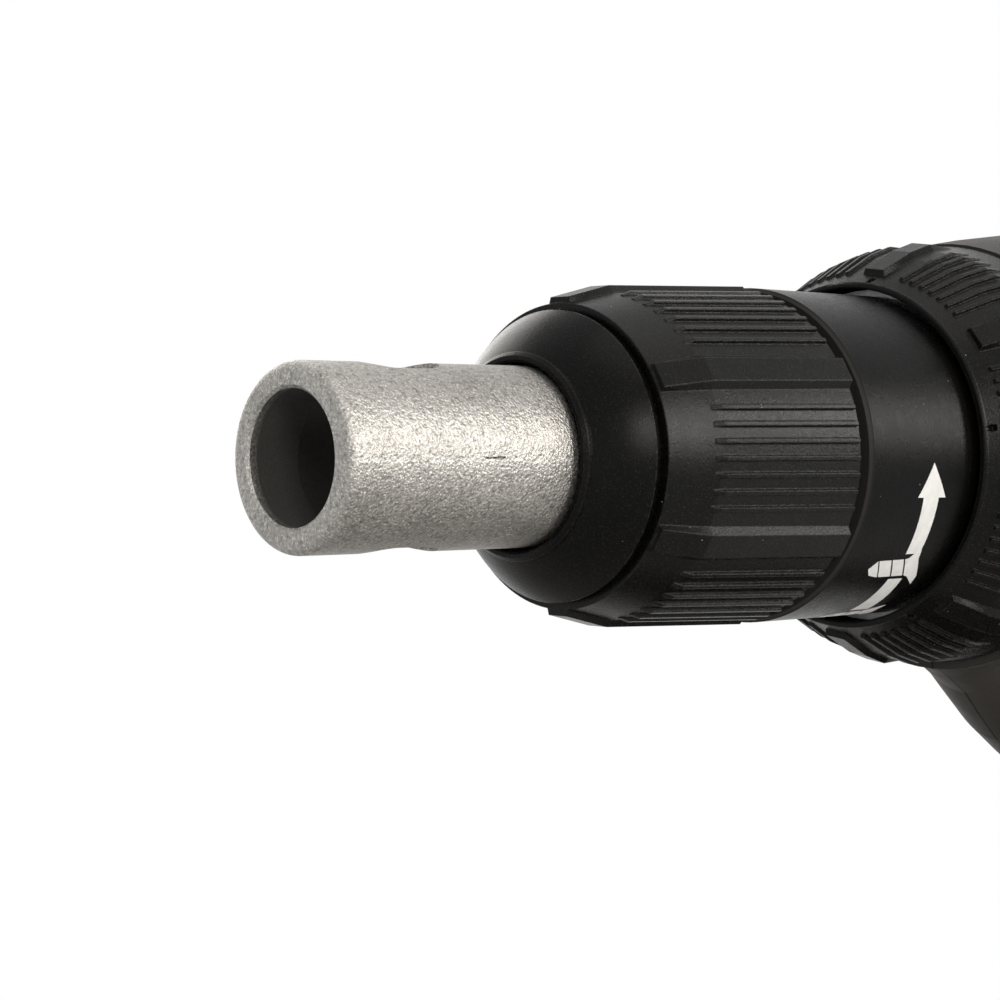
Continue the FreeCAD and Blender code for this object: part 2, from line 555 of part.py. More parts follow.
def make_gear_case():
    groove = f"({NECK_FRONT} + 4)"
    seat_r = "(bearing_r + press_fit)"
    body = new_body("gear_case", ON_AXIS)
    low = "(neck_r - 2 * oring_wire - seat_gap)"
    spin(body, "case_turned", [
        (NECK_FRONT, "neck_bore_r"), (NECK_FRONT, "neck_r - 0.5"), (f"{NECK_FRONT} + 0.5", "neck_r"),
        (groove, "neck_r"), (groove, low), (f"{groove} + 2 * oring_wire + 0.2", low),
        (f"{groove} + 2 * oring_wire + 0.2", "neck_r"), (SHOULDER, "neck_r"), (SHOULDER, "shoulder_r"),
        (BOWL, "shoulder_r"), (BOWL, "bowl_r"), (PLATE, "bowl_r"), (PLATE, "bowl_bore_r"),
        (f"{BOWL} + 0.6", "bowl_bore_r"), (f"{BOWL} + 0.6", seat_r), (BEARING_FRONT, seat_r),
        (BEARING_FRONT, "neck_bore_r")])
    lobe_front = f"({GEAR_FRONT} - 0.9 - lobe_wall)"
    lobe = ring_sketch(sketch_on(body, "YZ_Plane", "lobe_outline", lobe_front), "lobe_room_r + lobe_wall",
                       "0",
                       f"-{MOTOR_DROP}")
    pad(body, "pinion_lobe", lobe, f"{PLATE} - {lobe_front}")
    inside = f"({lobe_front} + lobe_wall - 0.4)"
    room = ring_sketch(sketch_on(body, "YZ_Plane", "room_outline", inside), "lobe_room_r", "0",
                       f"-{MOTOR_DROP}")
    pocket(body, "pinion_room", room, f"{PLATE} - {inside}")
    boss_at = "(boss_ring_r * sqrt(0.5))"
    boss = ring_sketch(sketch_on(body, "YZ_Plane", "boss_outline", GEAR_FRONT), "boss_r", boss_at, boss_at)
    first = pad(body, "screw_boss", boss, f"{PLATE} - {GEAR_FRONT}")
    polar(body, "screw_bosses", [first], "4")
    bowl = ring_sketch(sketch_on(body, "YZ_Plane", "bowl_outline", f"{BOWL} + 0.6"), "bowl_bore_r")
    pocket(body, "bowl_bore", bowl, f"{PLATE} - {BOWL}")
    hole = ring_sketch(sketch_on(body, "YZ_Plane", "hole_outline", GEAR_FRONT), "case_screw_r + seat_gap",
                       boss_at, boss_at)
    drilled = pocket(body, "screw_hole", hole, f"{PLATE} - {GEAR_FRONT}")
    polar(body, "screw_holes", [drilled], "4")
    seal = new_body("neck_o_ring", ON_AXIS)
    turns = [math.radians(45 * k) for k in range(8)]
    middle = f"{groove} + oring_wire + 0.1"
    spin(seal, "seal_ring", [
        (f"{middle} + oring_wire * {math.cos(t):.4f}",
         f"neck_r - oring_wire + oring_wire * {math.sin(t):.4f}")
        for t in turns])


def make_cover():
    body = new_body("gear_case_cover", ON_AXIS, FreeCAD.Rotation(V(1, 0, 0), value("cover_phase")))
    bind(body, "Placement.Rotation.Angle", "cover_phase")
    seat = "(shoulder_r + seat_gap)"
    middle = f"({COVER_FRONT} + cover_mid)"
    bend = f"({middle} + cover_turn)"
    smooth = f"({COVER_REAR} - cover_fade)"
    spin(body, "cover_shell", [
        (COVER_FRONT, "rim_inner_r"), (COVER_FRONT, "rim_outer_r - rim_edge", "-rim_edge"),
        (f"{COVER_FRONT} + rim_edge", "rim_outer_r"), (middle, "cover_mid_r"), (bend, "cover_turn_r"),
        (smooth, "cover_rear_r"),
        (f"{COVER_REAR} - 0.4", "cover_rear_r + 0.3"), (COVER_REAR, "cover_rear_r - 0.1"),
        (COVER_REAR, seat),
        (f"{SHOULDER} - seat_gap", seat), (f"{SHOULDER} - seat_gap", "rim_inner_r")])
    sunk, wide = "0.4", "bar_half + bar_slope"
    bar = ridge(body, "cover_bar", [
        (f"{COVER_FRONT} + rim_band", "bar_half + 0.3", "bar_half", f"{BAND_R} - {sunk}",
         f"{BAND_R} + bar_rise"),
        (middle, wide, "bar_half", f"cover_mid_r - {sunk}", "cover_mid_r + bar_rise"),
        (bend, wide, "bar_half", f"cover_turn_r - {sunk}", "cover_turn_r + bar_rise"),
        (smooth, wide, "bar_half", f"cover_rear_r - {sunk}", "cover_rear_r + 0.1")])
    polar(body, "cover_bars_round", [bar], "cover_bars")
    base = "rib_half + rib_slope"
    start = "(180 / cover_bars - cover_rib_pitch * (ribs - 1) / 2)"
    rib = ridge(body, "cover_rib", [
        (f"{COVER_FRONT} + rim_band", base, "rib_half", f"{BAND_R} - {sunk}", f"{BAND_R} + rib_rise"),
        (middle, base, "rib_half", f"cover_mid_r - {sunk}", "cover_mid_r + rib_rise"),
        (bend, base, "rib_half", f"cover_turn_r - {sunk}", "cover_turn_r + rib_rise"),
        (f"{smooth} - 1", base, "rib_half", f"cover_rear_r - 0.1 - {sunk}", "cover_rear_r")], start)
    fan_out(body, "cover_ribs", rib, "ribs", "cover_rib_pitch * (ribs - 1)", "cover_bars")
    dimple = sketch_on(body, "YZ_Plane", "dimple_outline", COVER_FRONT, "81 - cover_phase")
    ring_sketch(dimple, "dimple_r", "0", "dimple_at_r")
    deep = f"rim_edge + (dimple_at_r - rim_outer_r) / {RIM_SLOPE} + dimple_depth"
    polar(body, "dimples_round", [pocket(body, "dimple", dimple, deep)], "dimples")


def hexagon(flats):
    """Corner points of a hexagon with its flats up and down."""
    corner, half, flat = f"({flats} / sqrt(3))", f"({flats} / sqrt(12))", f"({flats} / 2)"
    return [(corner, "0"), (half, flat), (f"-{half}", flat), (f"-{corner}", "0"), (f"-{half}", f"-{flat}"),
            (half, f"-{flat}")]


def make_spindle():
    body = new_body("spindle", ON_AXIS)
    pilot_end = f"({GEAR_REAR} + 1)"
    spin(body, "spindle_turned", [
        ("spindle_nose", "0"), ("spindle_nose", "spindle_r - 0.5"), ("spindle_nose + 0.5", "spindle_r"),
        (FLANGE, "spindle_r"), (FLANGE, "flange_r"), (FLANGE_REAR, "flange_r"), (FLANGE_REAR, "pilot_r"),
        (pilot_end, "pilot_r"), (pilot_end, "0")])
    lug = spin(body, "clutch_lug", [
        (f"{FLANGE_REAR} - 0.5", "lug_inner_r"), (f"{FLANGE_REAR} + lug_len", "lug_inner_r"),
        (f"{FLANGE_REAR} + lug_len", "flange_r - 0.2"), (f"{FLANGE_REAR} - 0.5", "flange_r - 0.2")],
        "lug_angle")
    polar(body, "clutch_lugs", [lug], "3")
    socket = outline(sketch_on(body, "YZ_Plane", "drive_hex", "spindle_nose"),
                     hexagon("(hex_flats + hex_play)"))
    pocket(body, "drive_socket", socket, "holder_shank + 1")
    clip_at = "(spindle_nose + 10)"
    spin(body, "clip_groove", [
        (f"{clip_at} - 0.5", "0"), (f"{clip_at} + 0.5", "0"), (f"{clip_at} + 0.5", "hex_flats / 2 + 1.2"),
        (f"{clip_at} - 0.5", "hex_flats / 2 + 1.2")], groove=True)
    clip = tube("clip", "hex_flats / 2 + 0.7", "hex_flats / 2 - 0.1", "clip_width",
                on_axis(f"({clip_at} - clip_width / 2)"))
    clip.Base.Angle = 320
    node("holder_clip", clip)

    holder = new_body("bit_holder", ON_AXIS)
    shoulder = "(spindle_nose - seat_gap)"
    spin(holder, "holder_turned", [
        ("holder_tip", "0"), ("holder_tip", "holder_r - 0.8"), ("holder_tip + 0.8", "holder_r"),
        (shoulder, "holder_r"), (shoulder, "0")])
    shank = outline(sketch_on(holder, "YZ_Plane", "shank_hex", "spindle_nose - 1"), hexagon("hex_flats"))
    pad(holder, "shank", shank, "holder_shank + 1")
    spin(holder, "clip_seat", [
        (f"{clip_at} - 0.5", "hex_flats / 2 - 0.15"), (f"{clip_at} + 0.5", "hex_flats / 2 - 0.15"),
        (f"{clip_at} + 0.5", "hex_flats"), (f"{clip_at} - 0.5", "hex_flats")], groove=True)
    mouth = outline(sketch_on(holder, "YZ_Plane", "bit_hex", "holder_tip"),
                    hexagon("(hex_flats + hex_play)"))
    pocket(holder, "bit_socket", mouth, "holder_socket")
    deep = ring_sketch(sketch_on(holder, "YZ_Plane", "magnet_outline", "holder_tip"), "magnet_r + seat_gap")
    pocket(holder, "magnet_pocket", deep, "holder_socket + magnet_len")
    node("holder_magnet", cylinder("magnet", "magnet_r", "magnet_len",
                                   on_axis("(holder_tip + holder_socket)")))


def make_spindle_bearing():
    middle = "(bearing_r * 0.75)"
    at = on_axis(BEARING_FRONT)
    race = "(roller_r + slide_fit)"
    for label, outer, inner in (
            ("spindle_bearing_outer", "bearing_r", f"{middle} + {race}"),
            ("spindle_bearing_inner", f"{middle} - {race}", "spindle_r + slide_fit")):
        node(label, tube(label + "_ring", outer, inner, "bearing_len", at))
    rollers = []
    for i in range(int(value("rollers"))):
        turn = f"({i} * 360 deg / rollers)"
        spot = (f"{at[0]} + 0.6", f"{middle} * cos({turn})", f"axis_height + {middle} * sin({turn})")
        rollers.append(cylinder(f"roller{i}", "roller_r", "bearing_len - 1.2", spot))
    node("spindle_bearing_rollers", group("rollers_round", rollers))


def toothed(teeth, module, width, play, first_angle):
    """Spur gear blank along X with involute flanks, thinned by the play, on its own axis."""
    pitch_r = module * teeth / 2
    base_r = pitch_r * math.cos(math.radians(20))
    tip_r, root_r = pitch_r + 0.85 * module, pitch_r - 1.15 * module
    lean = math.tan(math.radians(20)) - math.radians(20)
    half_tooth = math.pi / (2 * teeth) - play / (2 * pitch_r) / 2

    def half_angle(radius):
        roll = math.sqrt(max(radius / base_r, 1.0) ** 2 - 1)
        return half_tooth + lean - (roll - math.atan(roll))

    radii = [root_r, max(base_r, root_r + 0.05), pitch_r, tip_r]
    corners = []
    for i in range(teeth):
        middle = first_angle + 2 * math.pi * i / teeth
        flank = [(r, half_angle(r)) for r in radii]
        for radius, half in flank:
            corners.append(V(0, radius * math.cos(middle - half), radius * math.sin(middle - half)))
        for radius, half in reversed(flank):
            corners.append(V(0, radius * math.cos(middle + half), radius * math.sin(middle + half)))
    return Part.Face(Part.makePolygon(corners + corners[:1])).extrude(V(width, 0, 0))


def rod(start, end, radius):
    """Plain round solid along X between two stations, on its own axis."""
    return Part.makeCylinder(value(radius), value(end) - value(start), V(value(start), 0, 0), V(1, 0, 0))


def make_gears():
    module, play = value("gear_module"), value("backlash")
    teeth, small = int(value("gear_teeth")), int(value("pinion_teeth"))
    wheel = toothed(teeth, module, value("gear_width"), play, -math.pi / 2)
    wheel.translate(V(value(GEAR_FRONT), 0, 0))
    wheel = wheel.fuse(rod(GEAR_REAR, JOURNAL_END, "journal_r"))
    lug_front = f"({GEAR_FRONT} - lug_len)"
    sector = value("lug_angle")
    for i in range(3):
        lug = Part.makeCylinder(value("flange_r - 0.2"), value("lug_len"), V(value(lug_front), 0, 0),
                                V(1, 0, 0), sector)
        lug = lug.cut(rod(lug_front, GEAR_FRONT, "lug_inner_r"))
        lug.rotate(V(0, 0, 0), V(1, 0, 0), 120 * i + 60 - sector / 2)
        wheel = wheel.fuse(lug)
    wheel = wheel.cut(rod(lug_front, f"({GEAR_FRONT} + spring_pocket)", "spring_pocket_r"))
    wheel = wheel.cut(rod(GEAR_FRONT, f"({JOURNAL_END} + 1)", "(pilot_r + slide_fit)")).removeSplitter()
    gear = doc.addObject("Part::Feature", "drive_gear")
    gear.Shape = wheel
    gear.Placement = FreeCAD.Placement(V(*[value(e) for e in ON_AXIS]), NO_TURN)
    node("drive_gear", gear)

    spur = toothed(small, module, value("gear_width") + 1.2, play, math.pi / 2 + math.pi / small)
    spur.translate(V(value(f"({GEAR_FRONT} - 0.6)"), 0, 0))
    spur = spur.cut(rod(f"({GEAR_FRONT} - 1)", f"({GEAR_REAR} + 1)", "(shaft_r + press_fit)"))
    pinion = doc.addObject("Part::Feature", "motor_pinion")
    pinion.Shape = spur
    pinion.Placement = FreeCAD.Placement(V(*[value(e) for e in ON_MOTOR]), NO_TURN)
    node("motor_pinion", pinion)
    node("gear_bush", tube("bush", "bush_r", "journal_r + slide_fit", "bush_len", on_axis(PLATE)))
    start = f"({FLANGE_REAR} + seat_gap)"
    length = f"({GEAR_FRONT} + spring_pocket - seat_gap - {start})"
    coil("clutch_spring", on_axis(start), "x", "clutch_spring_r", "clutch_wire_r", length, 5)


def screw_spots():
    """Places of the gear case screws across the spindle axis."""
    reach = "(boss_ring_r * sqrt(0.5))"
    return [(f"{a} * {reach}", f"axis_height + {b} * {reach}") for a in (-1, 1) for b in (-1, 1)]


def make_bearing_plate():
    disc = cylinder("plate_disc", "bowl_r", "plate_len", on_axis(PLATE))
    lower = cylinder("plate_motor", "plate_motor_r", "plate_len", on_motor(PLATE))
    ears = [cylinder(f"plate_ear{i}", "boss_r", "plate_len", (along(PLATE), y, z)) for i,
            (y, z) in enumerate(screw_spots())]
    bush = cylinder("bush_seat", "bush_r + press_fit", "bush_len", on_axis(PLATE))
    vent = cylinder("journal_room", "journal_r + 0.5", "plate_len", on_axis(PLATE))
    bearing_at = f"({PLATE_REAR} - motor_bearing_len)"
    bearing = cylinder("motor_seat", "motor_bearing_r + press_fit", "motor_bearing_len",
                       on_motor(bearing_at))
    shaft = cylinder("shaft_room", "shaft_r + 0.6", "plate_len", on_motor(PLATE))
    holes = []
    screws = []
    shank_at = f"({GEAR_FRONT} + 1)"
    for i, (y, z) in enumerate(screw_spots()):
        holes.append(cylinder(f"plate_hole{i}", "case_screw_r + seat_gap", "plate_len",
                              (along(PLATE), y, z)))
        shank = cylinder(f"case_shank{i}", "case_screw_r", f"{PLATE_REAR} - {shank_at}",
                         (along(shank_at), y, z))
        head = cylinder(f"case_head{i}", "case_screw_head_r", "screw_head", (along(PLATE_REAR), y, z))
        screws.append(fuse(f"case_screw{i}", shank, head))
    node("bearing_plate", cut("plate", fuse("plate_blank", disc, lower, *ears), bush, vent, bearing, shaft,
                              *holes))
    node("gear_case_screws", group("case_screws", screws))
    for label, where in (("motor_bearing_front", bearing_at), ("motor_bearing_rear", REAR_BEARING)):
        node(label, tube(label + "_ring", "motor_bearing_r", "shaft_r + slide_fit", "motor_bearing_len",
                         on_motor(where)))


def make_motor():
    shaft = new_body("motor_shaft", ON_MOTOR)
    front = f"({GEAR_FRONT} - 0.9)"
    spin(shaft, "shaft_turned", [
        (front, "0"), (front, "shaft_r - 0.4"), (f"{front} + 0.4", "shaft_r"),
        (f"{SHAFT_END} - 0.4", "shaft_r"),
        (SHAFT_END, "shaft_r - 0.4"), (SHAFT_END, "0")])
    at = on_motor(STATOR)
    node("rotor_core", tube("rotor", "rotor_r", "shaft_r + press_fit", "stator_len", at))
    magnets = []
    for i in range(int(value("poles"))):
        ring = tube(f"pole{i}", "rotor_r + seat_gap + magnet_wall", "rotor_r + seat_gap", "stator_len", at)
        ring.Base.Angle = 0.88 * 360 / value("poles")
        bind(ring.Base, "Angle", "0.88 * 360 / poles")
        turn = FreeCAD.Rotation(V(1, 0, 0), 360 * i / value("poles"))
        ring.Base.Placement.Rotation = turn.multiply(X_TURN)
        magnets.append(ring)
    node("rotor_magnets", group("poles_round", magnets))

    core = new_body("stator_core", ON_MOTOR)
    spin(core, "stator_yoke", [
        (STATOR, "stator_r - yoke"), (STATOR, "stator_r"), (STATOR_REAR, "stator_r"),
        (STATOR_REAR, "stator_r - yoke")])
    tooth = sketch_on(core, "YZ_Plane", "tooth_outline", STATOR)
    half, shoe = "(tooth_width / 2)", "(tooth_width / 2 + 1.8)"
    low, top = "(stator_bore_r + 0.6)", "(stator_r - yoke + 0.5)"
    outline(tooth, [(f"-{shoe}", low), (shoe, low), (shoe, f"{low} + 0.8"), (half, f"{low} + 1.6"),
                    (half, top),
                    (f"-{half}", top), (f"-{half}", f"{low} + 1.6"), (f"-{shoe}", f"{low} + 0.8")])
    first = pad(core, "stator_tooth", tooth, "stator_len")
    polar(core, "stator_teeth", [first], "6")

    coils = []
    inner_r, outer_r = f"({low} + 1.9)", "(stator_r - yoke - 1.4)"
    for i in range(6):
        turn = FreeCAD.Rotation(V(1, 0, 0), 60 * i)
        loop = doc.addObject("Part::Box", f"coil{i}_outer")
        gap = doc.addObject("Part::Box", f"coil{i}_gap")
        for thing, half_width, extra in ((loop, "coil_half", "coil_overhang"),
                                         (gap, f"({half} + 0.25)", "0.5")):
            bind(thing, "Length", f"stator_len + 2 * {extra}")
            bind(thing, "Width", f"2 * {half_width}")
            bind(thing, "Height", f"{outer_r} - {inner_r}")
            swing = f"({60 * i} deg)"
            place(thing, (f"{along(STATOR)} - {extra}",
                          f"-{half_width} * cos({swing}) - {inner_r} * sin({swing})",
                          f"{MOTOR_Z} - {half_width} * sin({swing}) + {inner_r} * cos({swing})"), turn)
        coils.append(cut(f"coil{i}", loop, gap))
    node("stator_coils", group("coils", coils))
    board_at = f"({STATOR} - coil_overhang - 0.4 - board_thick)"
    node("hall_board", tube("hall", "stator_r - 7", "9", "board_thick", on_motor(board_at)))

    fan = new_body("motor_fan", ON_MOTOR)
    back = f"({FAN} + fan_len)"
    spin(fan, "fan_disc", [
        (FAN, "shaft_r + press_fit"), (FAN, "6"), (f"{back} - 2.5", "9"), (f"{back} - 1.5", "fan_r"),
        (back, "fan_r"),
        (back, "shaft_r + press_fit")])
    blade = outline(sketch_on(fan, "YZ_Plane", "blade_outline", f"{FAN} + 1"), [
        ("-0.6", "8"), ("0.6", "8"), ("3.6", "fan_r - 0.5"), ("2.4", "fan_r - 0.5")])
    polar(fan, "fan_blades_round", [pad(fan, "fan_blade", blade, "fan_len - 2")], "fan_blades")


def ellipse(name, at, turn, major, minor):
    thing = doc.addObject("Part::Ellipse", name)
    thing.MajorRadius = value(major)
    thing.MinorRadius = value(minor)
    bind(thing, "MajorRadius", major)
    bind(thing, "MinorRadius", minor)
    return place(thing, at, turn)


def loft(name, sections):
    thing = doc.addObject("Part::Loft", name)
    thing.Sections = sections
    thing.Solid = True
    thing.Ruled = True
    return thing


def blended(rows, parts):
    """Add rows between the given rows, on a smooth curve through each row and its neighbours."""
    last = len(rows) - 1
    finished = []
    for i in range(last):
        near = [rows[max(i - 1, 0)], rows[i], rows[i + 1], rows[min(i + 2, last)]]
        finished.append(rows[i])
        for k in range(1, parts):
            t = k / parts
            shares = [(2 * t ** 2 - t - t ** 3) / 2, (2 - 5 * t ** 2 + 3 * t ** 3) / 2,
                      (t + 4 * t ** 2 - 3 * t ** 3) / 2, (t ** 3 - t ** 2) / 2]
            columns = zip(*near)
            finished.append([" + ".join(f"({w:.4f}) * ({e})" for w, e in zip(shares, c)) for c in columns])
    return finished + [rows[last]]


BARREL_BOTTOM = derived("barrel_bottom_at", f"{MOTOR_DROP} + stator_r + barrel_room + wall")
BARREL_Z = derived("barrel_z_at", f"axis_height - {BARREL_BOTTOM}")
SLOT_FLOOR = derived("slot_floor_at", "pack_height + run_gap")
RAIL_TOP = derived("rail_top_at", f"{SLOT_FLOOR} + rail_height")
SLOT_TOP = derived("slot_top_at", f"{RAIL_TOP} + run_gap + tongue_height + run_gap")
FOOT_FLOOR = derived("foot_floor_at", f"{SLOT_TOP} + slot_roof")
FOOT_TOP = derived("foot_top_at", f"{SLOT_FLOOR} + foot_height")
FOOT_FRONT = derived("foot_front_at", "-foot_len / 2 + 3")


def steps_for(inset):
    """Hidden inside walls run straight from row to row, and seen ones take a step between."""
    return 1 if inset == "wall" else 2


def upright_loft(name, rows, inset):
    """Loft ellipses across the spindle from rows of (station, top, bottom, half width) about its axis."""
    rings = []
    for i, (station, top, bottom, half) in enumerate(blended(rows, steps_for(inset))):
        at = (along(station), "0", f"axis_height + (({top}) - ({bottom})) / 2")
        tall, wide = f"(({top}) + ({bottom})) / 2 - {inset}", f"({half}) - {inset}"
        rings.append(ellipse(f"{name}{i}", at, X_TURN, tall, wide))
    return loft(name, rings)


def barrel(name, inset):
    """Motor barrel from the front to the tail, shrunk by an inset for its inside."""
    return upright_loft(name, [
        (HOUSING_FRONT, "front_top", "front_bottom", "front_half"),
        (f"({HOUSING_FRONT} + chin_at)", "chin_top", "chin_bottom", "chin_half"),
        (f"({HOUSING_FRONT} + throat_at)", "chin_top", "throat_bottom", "throat_half"),
        (STATOR, "barrel_top", BARREL_BOTTOM, "barrel_half"),
        (STATOR_REAR, "waist_top", BARREL_BOTTOM, "waist_half"),
        (TAIL, "tail_top", "tail_bottom", "tail_half"),
        (f"({TAIL} + tail_len - {inset})", "end_top", "end_bottom", "end_half")], inset)


def keel(name, inset):
    """Narrow chin under the gears that runs back into the barrel's bottom."""
    return upright_loft(name, [
        (HOUSING_FRONT, "keel_top", "keel_front", "keel_half"),
        (f"({HOUSING_FRONT} + keel_step)", "keel_top", "keel_low", "keel_half"),
        (f"({HOUSING_FRONT} + chin_at)", "keel_top", "keel_chin", "keel_half"),
        (f"({HOUSING_FRONT} + throat_at)", "keel_top", "keel_throat", "keel_half + keel_swell"),
        (STATOR, "keel_top", f"{BARREL_BOTTOM} - keel_sink", "keel_half + 2 * keel_swell")], inset)


def handle(name, inset):
    """Raked handle between the barrel and the foot, shrunk by an inset or swollen by a negative one."""
    span = f"({BARREL_Z} - {FOOT_TOP})"
    rows = [(-0.12, "handle_flare"), (0.06, "1.12"), (0.38, "0.97"), (0.72, "1.03"), (1.0, "1.14"),
            (1.2, "1.35")]
    rings = []
    for i, (share, swell) in enumerate(blended(rows, steps_for(inset))):
        at = (f"handle_x + handle_rake * (1 - ({share}))", "0", f"{FOOT_TOP} + {span} * ({share})")
        deep, wide = f"handle_len * ({swell}) - {inset}", f"handle_half * ({swell}) - {inset}"
        rings.append(ellipse(f"{name}{i}", at, NO_TURN, deep, wide))
    return loft(name, rings)


def rail_box(name, half, low, high, front, back):
    """Box about the middle plane, from its half width and its other limits."""
    size = (f"{back} - ({front})", f"2 * ({half})", f"{high} - ({low})")
    return box(name, (front, f"-({half})", low), size)


TRIGGER_TOP = derived("trigger_top_at", f"{BARREL_Z} - trigger_drop")
TRIGGER_LOW = derived("trigger_low_at", f"{TRIGGER_TOP} - trigger_height")
TRIGGER_BACK = derived("trigger_back_at", "handle_x - handle_len + 1.5")
SWITCH_FRONT = derived("switch_front_at", f"{TRIGGER_BACK} + trigger_travel + 3.5")
SWITCH_TOP = derived("switch_top_at", f"{TRIGGER_TOP} - slider_height - 3")
SWITCH_LOW = derived("switch_low_at", f"{SWITCH_TOP} - switch_height")
STEM_Z = derived("stem_at_z", f"{SWITCH_TOP} - switch_height / 2 + 2")
SLIDER_Z = derived("slider_at_z", f"{SWITCH_TOP} + 1 + slider_height / 2")
SLIDER_X = derived("slider_at_x", f"{SWITCH_FRONT} + 10")
LOCK_X = derived("lock_at_x", f"{SWITCH_FRONT} + 9")
LOCK_Z = derived("lock_at_z", f"{SWITCH_LOW} + 9")
LOCK_BACK = derived("lock_back_at", "switch_half + run_gap")
LOCK_SEAT = derived("lock_seat_at", f"{LOCK_BACK} + lock_floor")
INSERT_Z = derived("insert_at_z", f"{FOOT_FLOOR} + insert_r + 2")
SLOT_BACK = derived("slot_back_at", "foot_len / 2 - slot_stop")
LATCH_X = derived("latch_at_x", "-pack_len / 2")
LATCH_LOW = derived("latch_low_at", "pack_height - latch_height - latch_travel")
CELL_Z = derived("cell_at_z", "wall + cell_lift + cell_r")
BOARD_Z = derived("board_at_z", "wall + 2 * (cell_r + cell_lift) + 2 * seat_gap")
CLIP_Z = derived("clip_at_z", f"{BOARD_Z} + board_thick + seat_gap")
FAR = "foot_width"

# Screws that join the housing halves: place along X, height, and depth of the head's seat from the middle.
FASTENERS = [
    (along(f"({STATOR} - 4)"), "axis_height + 15", "12"),
    (along(f"({STATOR_REAR} + 6)"), "axis_height + 10", "12"),
    (along(f"({TAIL} + 12)"), MOTOR_Z, "8"),
    ("handle_x + 3", f"{SWITCH_LOW} - 12", "7"),
    ("handle_x + handle_rake - 1", f"{FOOT_TOP} + 12", "7"),
    (f"{FOOT_FRONT} + 11", f"{FOOT_FLOOR} + post_r + 1", "24"),
    ("foot_len / 2 - 6", f"{FOOT_FLOOR} + post_r + 1", "24")]
SIDES = (("left", "-foot_width / 2", "wall / 2 - foot_width / 2"),
         ("right", "foot_width / 2 - insert_len", "foot_width / 2 - insert_len - 2 - wall / 2"))


def foot_outside():
    """Foot that the battery slides under, with rounded corners and a rounded top edge."""
    size = ("foot_len", "foot_width", "foot_height")
    block = box("foot_block", (FOOT_FRONT, "-foot_width / 2", SLOT_FLOOR), size)
    sides = rounded("foot_sides", block, "foot_corner", upright)
    return rounded("foot", sides, "foot_edge", at_level(value(FOOT_TOP)))


def foot_inside():
    size = ("foot_len - 2 * wall", "foot_width - 2 * wall", f"{FOOT_TOP} - wall - {FOOT_FLOOR}")
    room = box("foot_room", (f"{FOOT_FRONT} + wall", "wall - foot_width / 2", FOOT_FLOOR), size)
    return rounded("foot_inside", room, "foot_corner - wall", upright)


def housing_webs(barrel_in, handle_in):
    """Walls across the housing that hold the gear case, the stator, the rear bearing and the switch."""
    webs = []
    for name, station, length, radius, z in (
            ("nose_web", f"({GEAR_FRONT} - 6)", "2.5", "bowl_r + seat_gap", "axis_height"),
            ("stator_web_front", f"({STATOR} + 3)", "3", "stator_r + seat_gap", MOTOR_Z),
            ("stator_web_rear", f"({STATOR_REAR} - 6)", "3", "stator_r + seat_gap", MOTOR_Z),
            ("bearing_web", f"({REAR_BEARING} - 0.5)", "motor_bearing_len + 1",
             "motor_bearing_r + seat_gap", MOTOR_Z)):
        slab = rail_box(name + "_slab", FAR, "axis_height - 60", "axis_height + 40", along(station),
                        f"{along(station)} + {length}")
        hole = cylinder(name + "_hole", radius, length, (along(station), "0", z))
        webs.append(cut(name, common(name + "_web", barrel_in, slab), hole))
    floor = f"({SWITCH_LOW} - seat_gap)"
    slab = rail_box("shelf_slab", FAR, f"{floor} - shelf", floor, "-60", "60")
    return webs + [common("switch_shelf", handle_in, slab)]


def vents():
    """Air slots through both sides, wide ones at the fan and narrow ones in front of the motor."""
    slots = []
    for name, first, width in (("outlet", f"{FAN} + 1", "vent_width"),
                               ("inlet", f"{PLATE_REAR} + 1", "vent_width / 2")):
        for i in range(int(value("vents"))):
            front = along(f"({first} + 2 * {width} * {i})")
            slots.append(rail_box(f"{name}{i}", FAR, f"{MOTOR_Z} - vent_height / 2",
                                  f"{MOTOR_Z} + vent_height / 2",
                                  front, f"{front} + {width}"))
    return slots


